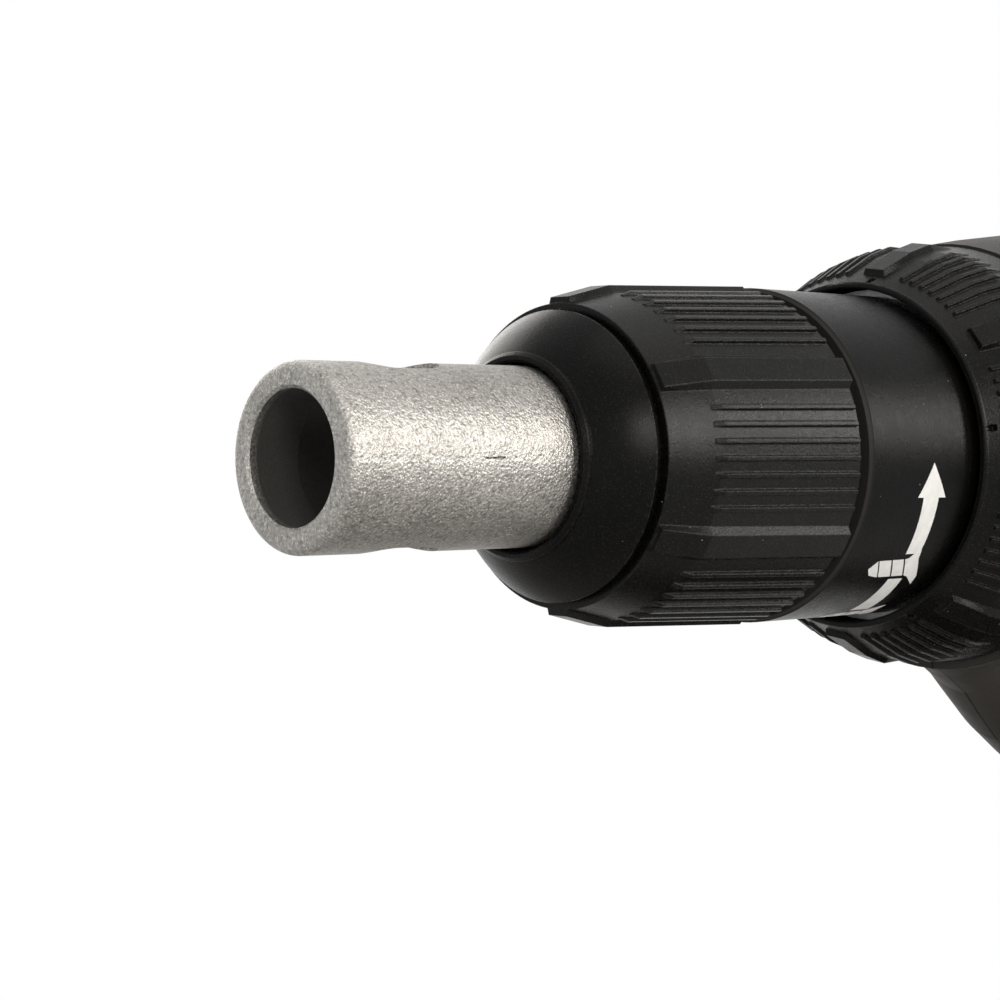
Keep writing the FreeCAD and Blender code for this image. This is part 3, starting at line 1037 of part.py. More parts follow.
def housing_cuts():
    """Battery slot, control windows, vents, screw holes and insert holes."""
    half_slider = "(slider_height / 2 + run_gap)"
    cuts = [
        rail_box("slot_neck", "tongue_half - rail_reach + run_gap", f"{SLOT_FLOOR} - 1", SLOT_TOP,
                 "-pack_len", SLOT_BACK),
        rail_box("slot_head", "tongue_half + run_gap", RAIL_TOP, SLOT_TOP, "-pack_len", SLOT_BACK),
        rail_box("trigger_window", "trigger_width / 2 + run_gap", f"{TRIGGER_LOW} - run_gap",
                 f"{TRIGGER_TOP} + run_gap", "-60", f"{SWITCH_FRONT} - 0.5"),
        rail_box("block_window", "block_half - 6", f"{SLOT_TOP} - 1", f"{FOOT_FLOOR} + 0.1", "block_x - 6",
                 "block_x + 4"),
        rail_box("slider_window", FAR, f"{SLIDER_Z} - {half_slider}", f"{SLIDER_Z} + {half_slider}",
                 f"{SLIDER_X} - slider_width / 2 - run_gap", f"{SLIDER_X} + slider_width / 2 + run_gap"),
        cylinder("lock_hole", "lock_r + run_gap", f"{FAR} - {LOCK_SEAT}", (LOCK_X, f"-{FAR}", LOCK_Z), "y"),
        cylinder("lock_port", "lock_spring_r + lock_wire_r + run_gap", FAR, (LOCK_X, f"-{FAR}", LOCK_Z), "y"),
        cylinder("light_hole", "light_r + seat_gap", "2 * wall + 4", (f"{FOOT_FRONT} - 3", "0", INSERT_Z))]
    for i, (x, z, depth) in enumerate(FASTENERS):
        cuts.append(cylinder(f"post_hole{i}", "screw_r + seat_gap", f"{depth} + 10", (x, "-10", z), "y"))
        cuts.append(cylinder(f"post_sink{i}", "screw_head_r + run_gap", FAR, (x, depth, z), "y"))
    for side, start, _ in SIDES:
        cuts.append(cylinder(f"insert_hole_{side}", "insert_r", "insert_len", ("0", start, INSERT_Z), "y"))
    return cuts + vents()


def make_housing():
    parts_out = barrel("barrel_out", "0"), keel("keel_out", "0"), handle("handle_out", "0"), foot_outside()
    outside = fuse("outside", *parts_out)
    barrel_in, handle_in = barrel("barrel_in", "wall"), handle("handle_in", "wall")
    inside = fuse("inside", barrel_in, keel("keel_in", "wall"), handle_in, foot_inside())
    rods = [cylinder(f"post{i}", "post_r", f"2 * {FAR}", (x, f"-{FAR}", z), "y")
            for i, (x, z, _) in enumerate(FASTENERS)]
    well = cylinder("lock_well_rod", "lock_r + run_gap + lock_well", f"{FAR} - {LOCK_BACK}",
                    (LOCK_X, f"-{FAR}", LOCK_Z), "y")
    posts = common("posts", inside, fuse("post_rods", *rods, well))
    shell = fuse("shell", cut("hollow", outside, inside), posts, *housing_webs(barrel_in, handle_in))
    bosses = [cylinder(f"insert_post_{side}", "insert_r + 2", "insert_len + 2", ("0", start, INSERT_Z), "y")
              for side, _, start in SIDES]
    body = cut("housing", fuse("shell_posts", shell, *bosses), *housing_cuts())
    for label, corner in (("housing_left", f"-2 * {FAR}"), ("housing_right", "0")):
        half = box(label + "_space", ("-200", corner, "-10"), ("400", f"2 * {FAR}", "400"))
        node(label, common(label, body, half))


def make_housing_fittings():
    """Screws of the housing halves and the threaded inserts for the belt hook."""
    screws = []
    for i, (x, z, depth) in enumerate(FASTENERS):
        shank = cylinder(f"shank{i}", "screw_r", f"{depth} + 9.5", (x, "-9.5", z), "y")
        head = cylinder(f"head{i}", "screw_head_r", "screw_head", (x, depth, z), "y")
        screws.append(fuse(f"screw{i}", shank, head))
    node("housing_screws", group("screws", screws))
    inserts = [tube(f"insert_{side}", "insert_r", "insert_bore_r", "insert_len", ("0", start, INSERT_Z),
                    "y")
               for side, start, _ in SIDES]
    node("hook_inserts", group("inserts", inserts))


def make_grip_pads():
    """Rubber skins on both sides of the handle, cut clear of the lock button."""
    skin = cut("grip_skin", handle("grip_out", "-grip_rubber"), handle("grip_in", "-seat_gap"))
    span = rail_box("grip_span", FAR, f"{FOOT_TOP} + grip_base", f"{BARREL_Z} - grip_top", "-90", "90")
    lock_room = cylinder("lock_room", "lock_r + 2", FAR, (LOCK_X, f"-{FAR}", LOCK_Z), "y")
    for label, corner in (("grip_pad_left", f"-2 * {FAR}"), ("grip_pad_right", "seat_gap")):
        half = box(label + "_space", ("-200", corner, "-10"), ("400", f"2 * {FAR} - seat_gap", "400"))
        node(label, cut(label, common(label + "_skin", skin, span, half), lock_room))


def make_trigger():
    trigger = new_body("trigger", ("0", "0", "0"))
    front, low, top = f"({TRIGGER_BACK} - trigger_reach)", TRIGGER_LOW, TRIGGER_TOP
    sketch = outline(sketch_on(trigger, "XZ_Plane", "trigger_outline"), [
        (TRIGGER_BACK, low), (TRIGGER_BACK, top), (front, top),
        (f"{front} - 1.5", f"{top} - 2", "-trigger_dish"),
        (f"{front} + 2", f"{low} + 3"), (f"{front} + 5", low)])
    pad(trigger, "trigger_pad", sketch, "trigger_width", both_ways=True)
    stem = sketch_on(trigger, "YZ_Plane", "stem_outline", f"{TRIGGER_BACK} - 1")
    pad(trigger, "stem", ring_sketch(stem, "stem_r", "0", STEM_Z), f"{SWITCH_FRONT} - {TRIGGER_BACK} + 3")
    length = f"{SWITCH_FRONT} - {TRIGGER_BACK} - 2 * seat_gap"
    coil("trigger_spring", (f"{TRIGGER_BACK} + seat_gap", "0", STEM_Z), "x", "stem_r + 1.2", "0.35",
         length, 6)


def make_switch():
    size = ("switch_len", "2 * switch_half", "switch_height")
    block = box("switch_block", (SWITCH_FRONT, "-switch_half", SWITCH_LOW), size)
    smooth = rounded("switch_smooth", block, "1.5", upright)
    stem_hole = cylinder("stem_hole", "stem_r + run_gap", "4 + trigger_travel", (SWITCH_FRONT, "0", STEM_Z))
    lock_pit = cylinder("lock_pit", "lock_r - 1", "lock_pit_deep", (LOCK_X, "-switch_half", LOCK_Z), "y")
    node("switch_module", cut("switch", smooth, stem_hole, lock_pit))


def make_slider():
    half = "(handle_half * 1.1 + slider_reach)"
    corner = (f"{SLIDER_X} - slider_width / 2", f"-{half}", f"{SLIDER_Z} - slider_height / 2")
    bar = box("slider_bar", corner, ("slider_width", f"2 * {half}", "slider_height"))

    def end_edge(edge):
        return abs(edge.Vertexes[0].Point.y - edge.Vertexes[-1].Point.y) < 1e-6
    node("direction_slider", rounded("slider", bar, "slider_height / 4", end_edge))


def make_lock():
    face = "(handle_half * 0.98 + lock_reach)"
    rest = f"({LOCK_SEAT} + lock_travel + 0.4)"
    lock = new_body("lock_button", (LOCK_X, f"-{face}", LOCK_Z), FreeCAD.Rotation(V(0, 0, 1), 90))
    long = f"({face} - {rest})"
    spin(lock, "lock_turned", [
        ("0", "0"), ("0", "lock_r - 1.2"), ("1.2", "lock_r"), (long, "lock_r"), (long, "0")])
    length = f"{rest} - switch_half + lock_pit_deep - 2 * seat_gap"
    coil("lock_spring", (LOCK_X, f"seat_gap - {rest}", LOCK_Z), "y", "lock_spring_r", "lock_wire_r",
         length, 5)


def make_electrics():
    """Control module, lamp and battery contacts in the foot."""
    size = ("module_len", "2 * module_half", "module_height")
    module = box("module_block", ("module_x", "-module_half", f"{FOOT_FLOOR} + seat_gap"), size)
    node("control_module", rounded("module", module, "3", upright))
    node("light_lens", cylinder("lens", "light_r", "light_len",
                                (f"{FOOT_FRONT} - light_proud", "0", INSERT_Z)))
    board_x = f"{FOOT_FRONT} + light_len - light_proud + seat_gap"
    node("light_board", box("lamp_board", (board_x, "-7", f"{FOOT_FLOOR} + seat_gap"),
                            ("board_thick", "14", "9")))
    size = ("block_len", "2 * block_half", "block_height")
    corner = ("block_x", "-block_half", f"{SLOT_TOP} - seat_gap - block_height")
    node("terminal_block", box("terminals", corner, size))
    blades = []
    for i in (-1, 0, 1):
        corner = ("block_x - blade_len", f"{i} * blade_pitch - blade_thick / 2",
                  f"{SLOT_TOP} - 1 - blade_height")
        blades.append(box(f"blade{i + 1}", corner, ("blade_len", "blade_thick", "blade_height")))
    node("terminal_blades", group("blades", blades))


def make_belt_hook():
    inner, outer = "(foot_width / 2 + seat_gap)", "(foot_width / 2 + seat_gap + hook_thick)"
    hook = new_body("belt_hook", ("-hook_width / 2", "0", "0"))
    low, high = f"({FOOT_FLOOR} - 1)", f"({FOOT_FLOOR} - 1 + hook_leg)"
    leg_in, leg_out = f"({outer} + hook_gap)", f"({outer} + hook_gap + hook_thick)"
    bend, big = "hook_gap / 2 + 0.4", "hook_gap / 2 + hook_thick + 0.4"
    strip = outline(sketch_on(hook, "YZ_Plane", "strip_outline"), [
        (inner, f"{low} + hook_plate"), (inner, low, big), (leg_out, low), (leg_out, f"{high} - 8"),
        (f"{leg_out} + 3", high), (f"{leg_out} + 1", high), (leg_in, f"{high} - 8"),
        (leg_in, low, f"-({bend})"),
        (outer, low), (outer, f"{low} + hook_plate")])
    pad(hook, "strip", strip, "hook_width")
    hole = sketch_on(hook, "XZ_Plane", "hook_hole", f"-{outer} - 1")
    ring_sketch(hole, "insert_bore_r + run_gap", "hook_width / 2", INSERT_Z)
    pocket(hook, "screw_hole_hook", hole, "hook_thick + 2")
    inmost = ("0", "foot_width / 2 - insert_len + seat_gap", INSERT_Z)
    shank = cylinder("hook_shank", "insert_bore_r - seat_gap", "insert_len + hook_thick + 0.5", inmost, "y")
    head = cylinder("hook_head", "insert_r + 1", "screw_head", ("0", f"{outer} + seat_gap", INSERT_Z), "y")
    node("belt_hook_screw", fuse("hook_screw", shank, head))


def pack_outside():
    """Battery block with rounded edges and the tongue that slides into the foot."""
    corner = ("-pack_len / 2", "-pack_width / 2", "0")
    block = box("pack_block", corner, ("pack_len", "pack_width", "pack_height"))
    sides = rounded("pack_sides", block, "pack_corner", upright)
    top = rounded("pack_top", sides, "pack_edge", at_level(value("pack_height")))
    whole = rounded("pack_smooth", top, "pack_edge", at_level(0))
    back = f"{SLOT_BACK} - run_gap"
    neck = rail_box("tongue_neck", "tongue_half - rail_reach", "pack_height - 1", f"{RAIL_TOP} + 1",
                    FOOT_FRONT, back)
    head = rail_box("tongue_head", "tongue_half", f"{RAIL_TOP} + run_gap", f"{SLOT_TOP} - run_gap",
                    FOOT_FRONT, back)
    return fuse("pack_outside", whole, neck, head)


def pack_inside():
    size = ("pack_len - 2 * wall", "pack_width - 2 * wall", "pack_height - 2 * wall")
    room = box("pack_room", ("wall - pack_len / 2", "wall - pack_width / 2", "wall"), size)
    return rounded("pack_hollow", room, "pack_corner - wall", upright)


def make_battery_cases():
    spots = [(f"{a} * (pack_len / 2 - pack_screw_in)", f"{b} * pack_screw_y") for a in (-1, 1)
             for b in (-1, 1)]
    holes = []
    posts = []
    screws = []
    for i, (x, y) in enumerate(spots):
        posts.append(cylinder(f"pack_post{i}", "pack_post_r", "pack_height - 2", (x, y, "1"), "z"))
        holes.append(cylinder(f"pack_hole{i}", "pack_screw_r + seat_gap", "pack_split + 8", (x, y, "0"),
                              "z"))
        holes.append(cylinder(f"pack_sink{i}", "pack_screw_head_r + seat_gap", "screw_head + 1",
                              (x, y, "0"), "z"))
        shank = cylinder(f"pack_shank{i}", "pack_screw_r", "pack_split + 4", (x, y, "screw_head + 1"), "z")
        cap = cylinder(f"pack_cap{i}", "pack_screw_head_r", "screw_head", (x, y, "1"), "z")
        screws.append(fuse(f"pack_screw{i}", shank, cap))
    node("battery_screws", group("pack_screws", screws))
    latch_room = rail_box("latch_room", "latch_half + run_gap", LATCH_LOW, "pack_height + 1",
                          f"{LATCH_X} - 1",
                          f"{LATCH_X} + latch_len + run_gap")
    latch_box = rail_box("latch_box", "latch_half + run_gap + 1.5", f"{LATCH_LOW} - 1.5", "pack_height - 1",
                         f"{LATCH_X} + 0.5", f"{LATCH_X} + latch_len + 1.8")
    recess = rail_box("contact_recess", "block_half + 1", "pack_height", f"{SLOT_TOP} + 1", "clip_x - 8",
                      "pack_len")
    window = rail_box("contact_window", "blade_pitch + 3", "pack_height - wall - 1", "pack_height + 1",
                      "clip_x - 4",
                      "clip_x + clip_len + 3")
    shell = cut("pack_shell", pack_outside(), pack_inside())
    body = cut("pack", fuse("pack_posts", shell, latch_box, *posts), latch_room, recess, window, *holes)
    for label, low, high in (("battery_lower_case", "-1", "pack_split"),
                             ("battery_upper_case", "pack_split", "pack_height * 2")):
        space = rail_box(label + "_space", "pack_width", low, high, "-pack_len", "pack_len")
        node(label, common(label, body, space))


def make_cells():
    cells = []
    bores = []
    for i in range(int(value("cell_count"))):
        x = f"({i} - (cell_count - 1) / 2) * cell_pitch"
        cells.append(cylinder(f"cell{i}", "cell_r", "cell_len", (x, "-cell_len / 2", CELL_Z), "y"))
        bores.append(cylinder(f"cell_bore{i}", "cell_r + seat_gap", "pack_width",
                              (x, "-pack_width / 2", CELL_Z), "y"))
    node("battery_cells", group("cells_row", cells))
    holders = []
    for side in (-1, 1):
        at = ("-cell_count * cell_pitch / 2", f"{side} * cell_len / 3 - holder_thick / 2",
              "wall + seat_gap")
        size = ("cell_count * cell_pitch", "holder_thick", "2 * (cell_r + cell_lift)")
        holders.append(cut(f"holder_plate{side + 1}", box(f"holder{side + 1}", at, size), *bores))
    node("cell_holders", group("holders", holders))


def make_contacts():
    """Board over the cells with a fork of two leaves for each blade."""
    node("battery_board", rail_box("pack_board", "24", BOARD_Z, f"{BOARD_Z} + board_thick", "-40", "40"))
    gap = "(blade_thick / 2 + 0.3)"
    tall = f"{SLOT_TOP} - 1.5 - {CLIP_Z}"
    clips = []
    for i in (-1, 0, 1):
        middle = f"{i} * blade_pitch"
        size = ("clip_len", f"2 * ({gap} + clip_leaf)", "1")
        foot = box(f"clip_foot{i + 1}", ("clip_x", f"{middle} - {gap} - clip_leaf", CLIP_Z), size)
        leaves = [box(f"clip_leaf{i + 1}_{k}", ("clip_x", f"{middle} + {y}", CLIP_Z),
                      ("clip_len", "clip_leaf", tall))
                  for k, y in enumerate((f"(-{gap} - clip_leaf)", gap))]
        clips.append(fuse(f"clip{i + 1}", foot, *leaves))
    node("battery_clips", group("clips", clips))


def make_latch():
    latch = new_body("battery_latch", ("0", "0", "0"))
    low = "(pack_height - latch_height)"
    face, back = f"({LATCH_X} - 0.6)", f"({LATCH_X} + latch_len)"
    side = outline(sketch_on(latch, "XZ_Plane", "latch_outline"), [
        (face, f"{low} + 1"), (back, low), (back, "pack_height + 0.1"),
        (f"{back} - 2", "pack_height + latch_rise"),
        (f"{back} - 3.5", "pack_height + latch_rise"), (f"{back} - 3.5", "pack_height - 0.8"),
        (face, "pack_height - 3")])
    pad(latch, "latch_pad", side, "2 * latch_half", both_ways=True)
    coil("latch_spring", (f"{LATCH_X} + latch_len / 2 + 0.4", "0", f"{LATCH_LOW} + seat_gap"), "z", "2",
         "0.3",
         "latch_travel - 2 * seat_gap", 2)


doc.recompute()
make_locator()
make_collar()
make_sleeve()
make_gear_case()
make_cover()
make_spindle()
make_spindle_bearing()
make_gears()
make_bearing_plate()
make_motor()
make_housing()
make_housing_fittings()
make_grip_pads()
make_trigger()
make_switch()
make_slider()
make_lock()
make_electrics()
make_belt_hook()
make_battery_cases()
make_cells()
make_contacts()
make_latch()
doc.recompute()

failed = [o.Label for o in doc.Objects if "Invalid" in o.State or "Error" in o.State]
failed += [name for name, part in NODES.items() if part.Shape.isNull() or not part.Shape.isValid()]
if failed:
    raise SystemExit(f"failed objects: {failed}")
os.makedirs("parts", exist_ok=True)
for name, part in NODES.items():
    part.Shape.exportStep(f"parts/{name}.step")
print(len(NODES), "nodes written")
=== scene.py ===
import math

import bmesh
import bpy
from mathutils import Matrix, Vector


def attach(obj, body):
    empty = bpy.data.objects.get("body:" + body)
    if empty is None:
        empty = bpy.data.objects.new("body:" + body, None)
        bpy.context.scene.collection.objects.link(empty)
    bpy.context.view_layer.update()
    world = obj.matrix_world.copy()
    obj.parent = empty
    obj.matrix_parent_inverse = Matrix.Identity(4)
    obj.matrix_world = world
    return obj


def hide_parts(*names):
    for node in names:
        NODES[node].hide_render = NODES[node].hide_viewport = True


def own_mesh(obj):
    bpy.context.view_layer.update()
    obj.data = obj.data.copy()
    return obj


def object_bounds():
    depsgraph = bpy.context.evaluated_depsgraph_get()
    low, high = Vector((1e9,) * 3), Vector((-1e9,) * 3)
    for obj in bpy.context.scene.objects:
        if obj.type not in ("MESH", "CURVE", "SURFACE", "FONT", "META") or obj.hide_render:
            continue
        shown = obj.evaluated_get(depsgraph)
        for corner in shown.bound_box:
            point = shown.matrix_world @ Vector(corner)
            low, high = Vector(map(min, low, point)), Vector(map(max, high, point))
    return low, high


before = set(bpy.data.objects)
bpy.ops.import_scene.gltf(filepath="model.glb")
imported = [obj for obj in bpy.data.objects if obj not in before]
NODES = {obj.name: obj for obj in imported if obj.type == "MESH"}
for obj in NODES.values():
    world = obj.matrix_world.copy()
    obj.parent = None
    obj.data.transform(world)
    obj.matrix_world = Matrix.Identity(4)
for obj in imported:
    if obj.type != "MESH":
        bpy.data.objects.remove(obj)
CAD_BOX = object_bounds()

TURN = 2 * math.pi
MM = 0.001

# The nose's axis runs along X from the locator's tip, and the motor's lies lower. The sleeve's radius is
# in millimetres.
TIP = Vector((-0.158, 0.0, 0.192))
MOTOR_Z = 0.1717
SLEEVE_R = 18.5

# Camera of the photograph: picture side and focal length in pixels, sensor in millimetres, angles in
# degrees, the pixel and depth in metres at which the tip is seen, and the range of view.
PICTURE = 1000
FOCAL = 2300.0
SENSOR = 36.0
AZIMUTH, ELEVATION, ROLL = -42.54, 1.74, 0.30
TIP_PIXEL = (289.06, 458.04)
TIP_DEPTH = 0.21237
NEAR, FAR = 0.01, 20.0

# Tones of the black plastics' dust, their painted glints and painted lit rim, of the cast locator and the
# painted shade in its bore, and of the sign's ink.
DUST = (0.42, 0.41, 0.39)
# Painted glints: paler tops of the grain that stand in for sparkle.
PAINTED_GLINT_TOPS = (0.030, 0.0288, 0.0270)
# Painted light: a paler rim on the sleeve's front face, which lies in shade.
PAINTED_LIT_RIM = (0.036, 0.0345, 0.0325)
ALLOY, ALLOY_PALE = (0.255, 0.244, 0.227), (0.335, 0.323, 0.303)
ALLOY_SPARK, ALLOY_PIT = (0.72, 0.70, 0.665), (0.06, 0.057, 0.052)
PARTING_LINE, SCRATCH = (0.62, 0.61, 0.59), (0.03, 0.03, 0.03)
# Painted shade inside the locator's bore, at its mouth and deeper in.
BORE_SHADE_FRONT, BORE_SHADE_DEEP = (0.044, 0.0415, 0.0380), (0.034, 0.0322, 0.0296)
INK, INK_PALE = (0.66, 0.66, 0.655), (0.74, 0.74, 0.735)

# Features that materials draw, in metres. A tone fades in from the first of two values to the second.
RIM_EDGE = (0.0005, 0.0002)
SEAM_HALF = (0.00026, 0.00012)
MOUTH_WALL = (0.0004, 0.0001)
LEFT_OF, WANDER = -0.004, 0.0003
PARTING_RISE, PARTING_HALF = -0.0002, (0.00022, 0.00008)
SCRATCH_RISE, SCRATCH_HALF = 0.0001, (0.00016, 0.00006)
SCRATCH_START, SCRATCH_END = 0.0150, 0.0188
# The locator's bore, where its painted shade starts, and how far in that shade darkens.
BORE_R, BORE_START, BORE_SHADE_FADE = (0.0082, 0.0079), (0.0004, 0.0012), (0.003, 0.014)
SHEET, WIRE = 0.0005, 0.0007

# Printed sign in millimetres behind the tip and degrees up from the left side. The film is cut every
# few degrees from its lowest cut upwards, so that it can bend round the sleeve.
FILM = 0.03
LOWEST_CUT, CUT_STEP = -87, 3
ARROW_HEAD = [(70.93, -13.6), (75.77, -13.7), (73.08, -1.8)]
ARROW_UPPER = [(72.52, -34.9), (74.95, -34.9), (74.59, -13.6), (71.94, -13.6)]
ARROW_LOWER = [(73.73, -69.0), (76.8, -69.0), (75.16, -46.7), (72.72, -46.7)]

# Screws in the sign: where each starts and ends, its half width and its lean. Their outlines are in
# shares of the length and half widths to the side.
FLUSH_SCREW = ((67.7, -41.4), (76.3, -41.0), 3.85, 1.8)
DEEP_SCREW = ((71.6, -78.0), (79.6, -73.0), 3.4, 1.2)
SIGN_POINT = ((0.02, -0.7), (0.19, -1), (0.19, 1), (0.0, 0.1))
SIGN_SHANKS = ((0.215, 0.45), (0.48, 0.70))
SIGN_HEAD = ((0.73, -1), (0.80, -1.2), (0.92, -2.4), (1.0, -1.2), (1.0, 1.0), (1.06, 2.0),
             (0.92, 1.6), (0.80, 1.1), (0.73, 1))

# Real screws by node: body, way the head faces, head height, shank radius and pitch of the thread.
SCREWS = {
    "housing_screws": ("housing", (0, 1, 0), 0.0022, 0.0014, 0.0013),
    "battery_screws": ("battery", (0, 0, -1), 0.0022, 0.0012, 0.0011),
    "belt_hook_screw": ("housing", (0, 1, 0), 0.0022, 0.00195, 0.0007),
}

# Screw head from the floor of its recess to its underside, in shares of its radius and height. Rings
# inside the recess have six lobes.
HEAD_PROFILE = ((0.40, 0.6), (0.44, 0.55), (0.48, 0.04), (0.51, 0.0), (0.72, 0.0), (0.86, 0.04),
                (0.96, 0.14), (1.0, 0.32), (1.0, 0.9), (0.96, 1.0))
HEAD_STEPS, THREAD_STEPS, RUN_OUT = 48, 16, 12
RECESS, LOBES, LOBE_DEPTH = 0.6, 6, 0.17

# Shank and thread in shares of the shank's radius, and the thread's flank in shares of its pitch.
POINT_LONG, POINT_R = 1.2, 0.25
THREAD_FROM, THREAD_SPARE = 0.6, 2.2
ROOT_R, CREST, LEAST_CREST = 0.9, 0.22, 0.02
FLANK = 0.3

# Springs by node: body, joint that presses it, axis that it lies along, and which end of it is held.
LOW_END, HIGH_END = 0, 1
SPRINGS = {
    "clutch_spring": ("output_spindle", "spindle_press", 0, LOW_END),
    "trigger_spring": ("housing", "trigger_pull", 0, HIGH_END),
    "lock_spring": ("housing", "lock_press", 1, HIGH_END),
    "latch_spring": ("battery", "latch_press", 2, LOW_END),
}

# Room: the floor's radius, its drop below the part and the shares of the radius over which it fades out,
# the fill light, and the lamps by place, size and power.
FLOOR_R, FLOOR_DROP, FLOOR_FADE = 0.42, 0.0002, (0.45, 0.96)
FLOOR_TONES = ((0.80, 0.80, 0.80), (0.83, 0.83, 0.83))
FILL = (0.06, 0.06, 0.061, 1)
WARM = (1.0, 0.965, 0.915)
LAMP_AIM = Vector((-0.10, 0.0, 0.19))
LAMPS = {
    "key": ((0.17, -0.76, 0.45), (0.21, 0.37), 4.4),
    "rear": ((0.52, -0.50, 0.42), (0.16, 0.29), 2.3),
    "far": ((0.05, 0.75, 0.50), (0.6, 0.6), 3.0),
    "top": ((-0.10, -0.15, 0.85), (0.7, 0.5), 1.2),
    "front": ((-0.85, 0.05, 0.25), (0.4, 0.4), 0.25),
    "side": ((-0.42, -0.58, 0.40), (0.19, 0.19), 1.7),
}


def placed(name, data):
    """New object, linked into the scene."""
    made = bpy.data.objects.new(name, data)
    bpy.context.scene.collection.objects.link(made)
    return made


def as_mesh(name, shape):
    """Mesh made of a finished bmesh."""
    data = bpy.data.meshes.new(name)
    shape.to_mesh(data)
    shape.free()
    return data


def camera():
    """Camera that sees the tip at its place in the photograph."""
    az, el, roll = (math.radians(v) for v in (AZIMUTH, ELEVATION, ROLL))
    back = Vector((math.sin(az) * math.cos(el), -math.cos(az) * math.cos(el), math.sin(el)))
    flat = Vector((math.cos(az), math.sin(az), 0))
    tall = back.cross(flat)
    right = flat * math.cos(roll) + tall * math.sin(roll)
    up = tall * math.cos(roll) - flat * math.sin(roll)
    across = (TIP_PIXEL[0] - PICTURE / 2) * TIP_DEPTH / FOCAL
    above = -(TIP_PIXEL[1] - PICTURE / 2) * TIP_DEPTH / FOCAL
    data = bpy.data.cameras.new("photo_camera")
    data.sensor_width = SENSOR
    data.lens = SENSOR * FOCAL / PICTURE
    data.clip_start, data.clip_end = NEAR, FAR
    data.dof.use_dof = False
    seen = placed("photo_camera", data)
    turn = Matrix((right, up, back)).transposed().to_4x4()
    seen.matrix_world = Matrix.Translation(TIP - right * across - up * above + back * TIP_DEPTH) @ turn
    bpy.context.scene.camera = seen


class Shader:
    """Small builder for one procedural material, with lengths in metres and scales per metre."""

    def __init__(self, name):
        self.material = bpy.data.materials.new(name)
        self.material.use_nodes = True
        self.tree = self.material.node_tree
        self.base = self.tree.nodes["Principled BSDF"]
        self.place = self.add("ShaderNodeTexCoord").outputs["Object"]

    def add(self, kind, **settings):
        made = self.tree.nodes.new(kind)
        for key, setting in settings.items():
            setattr(made, key, setting)
        return made

    def plug(self, source, target):
        if isinstance(source, (int, float)):
            target.default_value = source
        elif isinstance(source, tuple):
            target.default_value = (*source, 1.0)
        else:
            self.tree.links.new(source, target)

    def maths(self, operation, first, second=0.0):
        made = self.add("ShaderNodeMath", operation=operation)
        self.plug(first, made.inputs[0])
        self.plug(second, made.inputs[1])
        return made.outputs[0]

    def axes(self, source=None):
        made = self.add("ShaderNodeSeparateXYZ")
        self.plug(source or self.place, made.inputs[0])
        return made.outputs

    def length(self, first, second):
        squares = self.maths("ADD", self.maths("POWER", first, 2.0), self.maths("POWER", second, 2.0))
        return self.maths("SQRT", squares)

    def from_axis(self, height):
        """Distance from the line along X at a height."""
        _, y, z = self.axes()
        return self.length(y, self.maths("SUBTRACT", z, height))

    def noise(self, scale, detail=2.0, rough=0.5, source=None):
        made = self.add("ShaderNodeTexNoise")
        self.plug(source or self.place, made.inputs["Vector"])
        made.inputs["Scale"].default_value = scale
        made.inputs["Detail"].default_value = detail
        made.inputs["Roughness"].default_value = rough
        return made.outputs[0]

    def cells(self, scale, feature="F1"):
        made = self.add("ShaderNodeTexVoronoi", feature=feature)
        self.plug(self.place, made.inputs["Vector"])
        made.inputs["Scale"].default_value = scale
        return made.outputs

    def ramp(self, source, low, high, start=0.0, end=1.0):
        made = self.add("ShaderNodeMapRange", clamp=True)
        for socket, item in zip(made.inputs, (source, low, high, start, end)):
            self.plug(item, socket)
        return made.outputs[0]

    def mix(self, share, first, second):
        made = self.add("ShaderNodeMix", data_type="RGBA")
        self.plug(share, made.inputs[0])
        self.plug(first, made.inputs[6])
        self.plug(second, made.inputs[7])
        return made.outputs[2]

    def bump(self, height, distance, normal=None):
        made = self.add("ShaderNodeBump")
        made.inputs["Strength"].default_value = 1.0
        made.inputs["Distance"].default_value = distance
        self.plug(height, made.inputs["Height"])
        if normal:
            self.plug(normal, made.inputs["Normal"])
        return made.outputs[0]

    def softened(self, radius):
        """Normal with sharp edges rounded over, as a mould leaves them."""
        made = self.add("ShaderNodeBevel", samples=6)
        made.inputs["Radius"].default_value = radius
        return made.outputs[0]

    def turned(self, normal):
        """How far a normal agrees with the surface's own, 1 where it is the same."""
        made = self.add("ShaderNodeVectorMath", operation="DOT_PRODUCT")
        self.plug(normal, made.inputs[0])
        self.plug(self.add("ShaderNodeNewGeometry").outputs["Normal"], made.inputs[1])
        return made.outputs["Value"]

    def finish(self, colour, roughness, metallic, normal, specular=0.5):
        for socket, source in (("Base Color", colour), ("Roughness", roughness), ("Metallic", metallic),
                               ("Specular IOR Level", specular), ("Normal", normal)):
            self.plug(source, self.base.inputs[socket])
        return self.material


def scaled(colour, factor, lift=0.0):
    return tuple(c * factor + lift for c in colour)


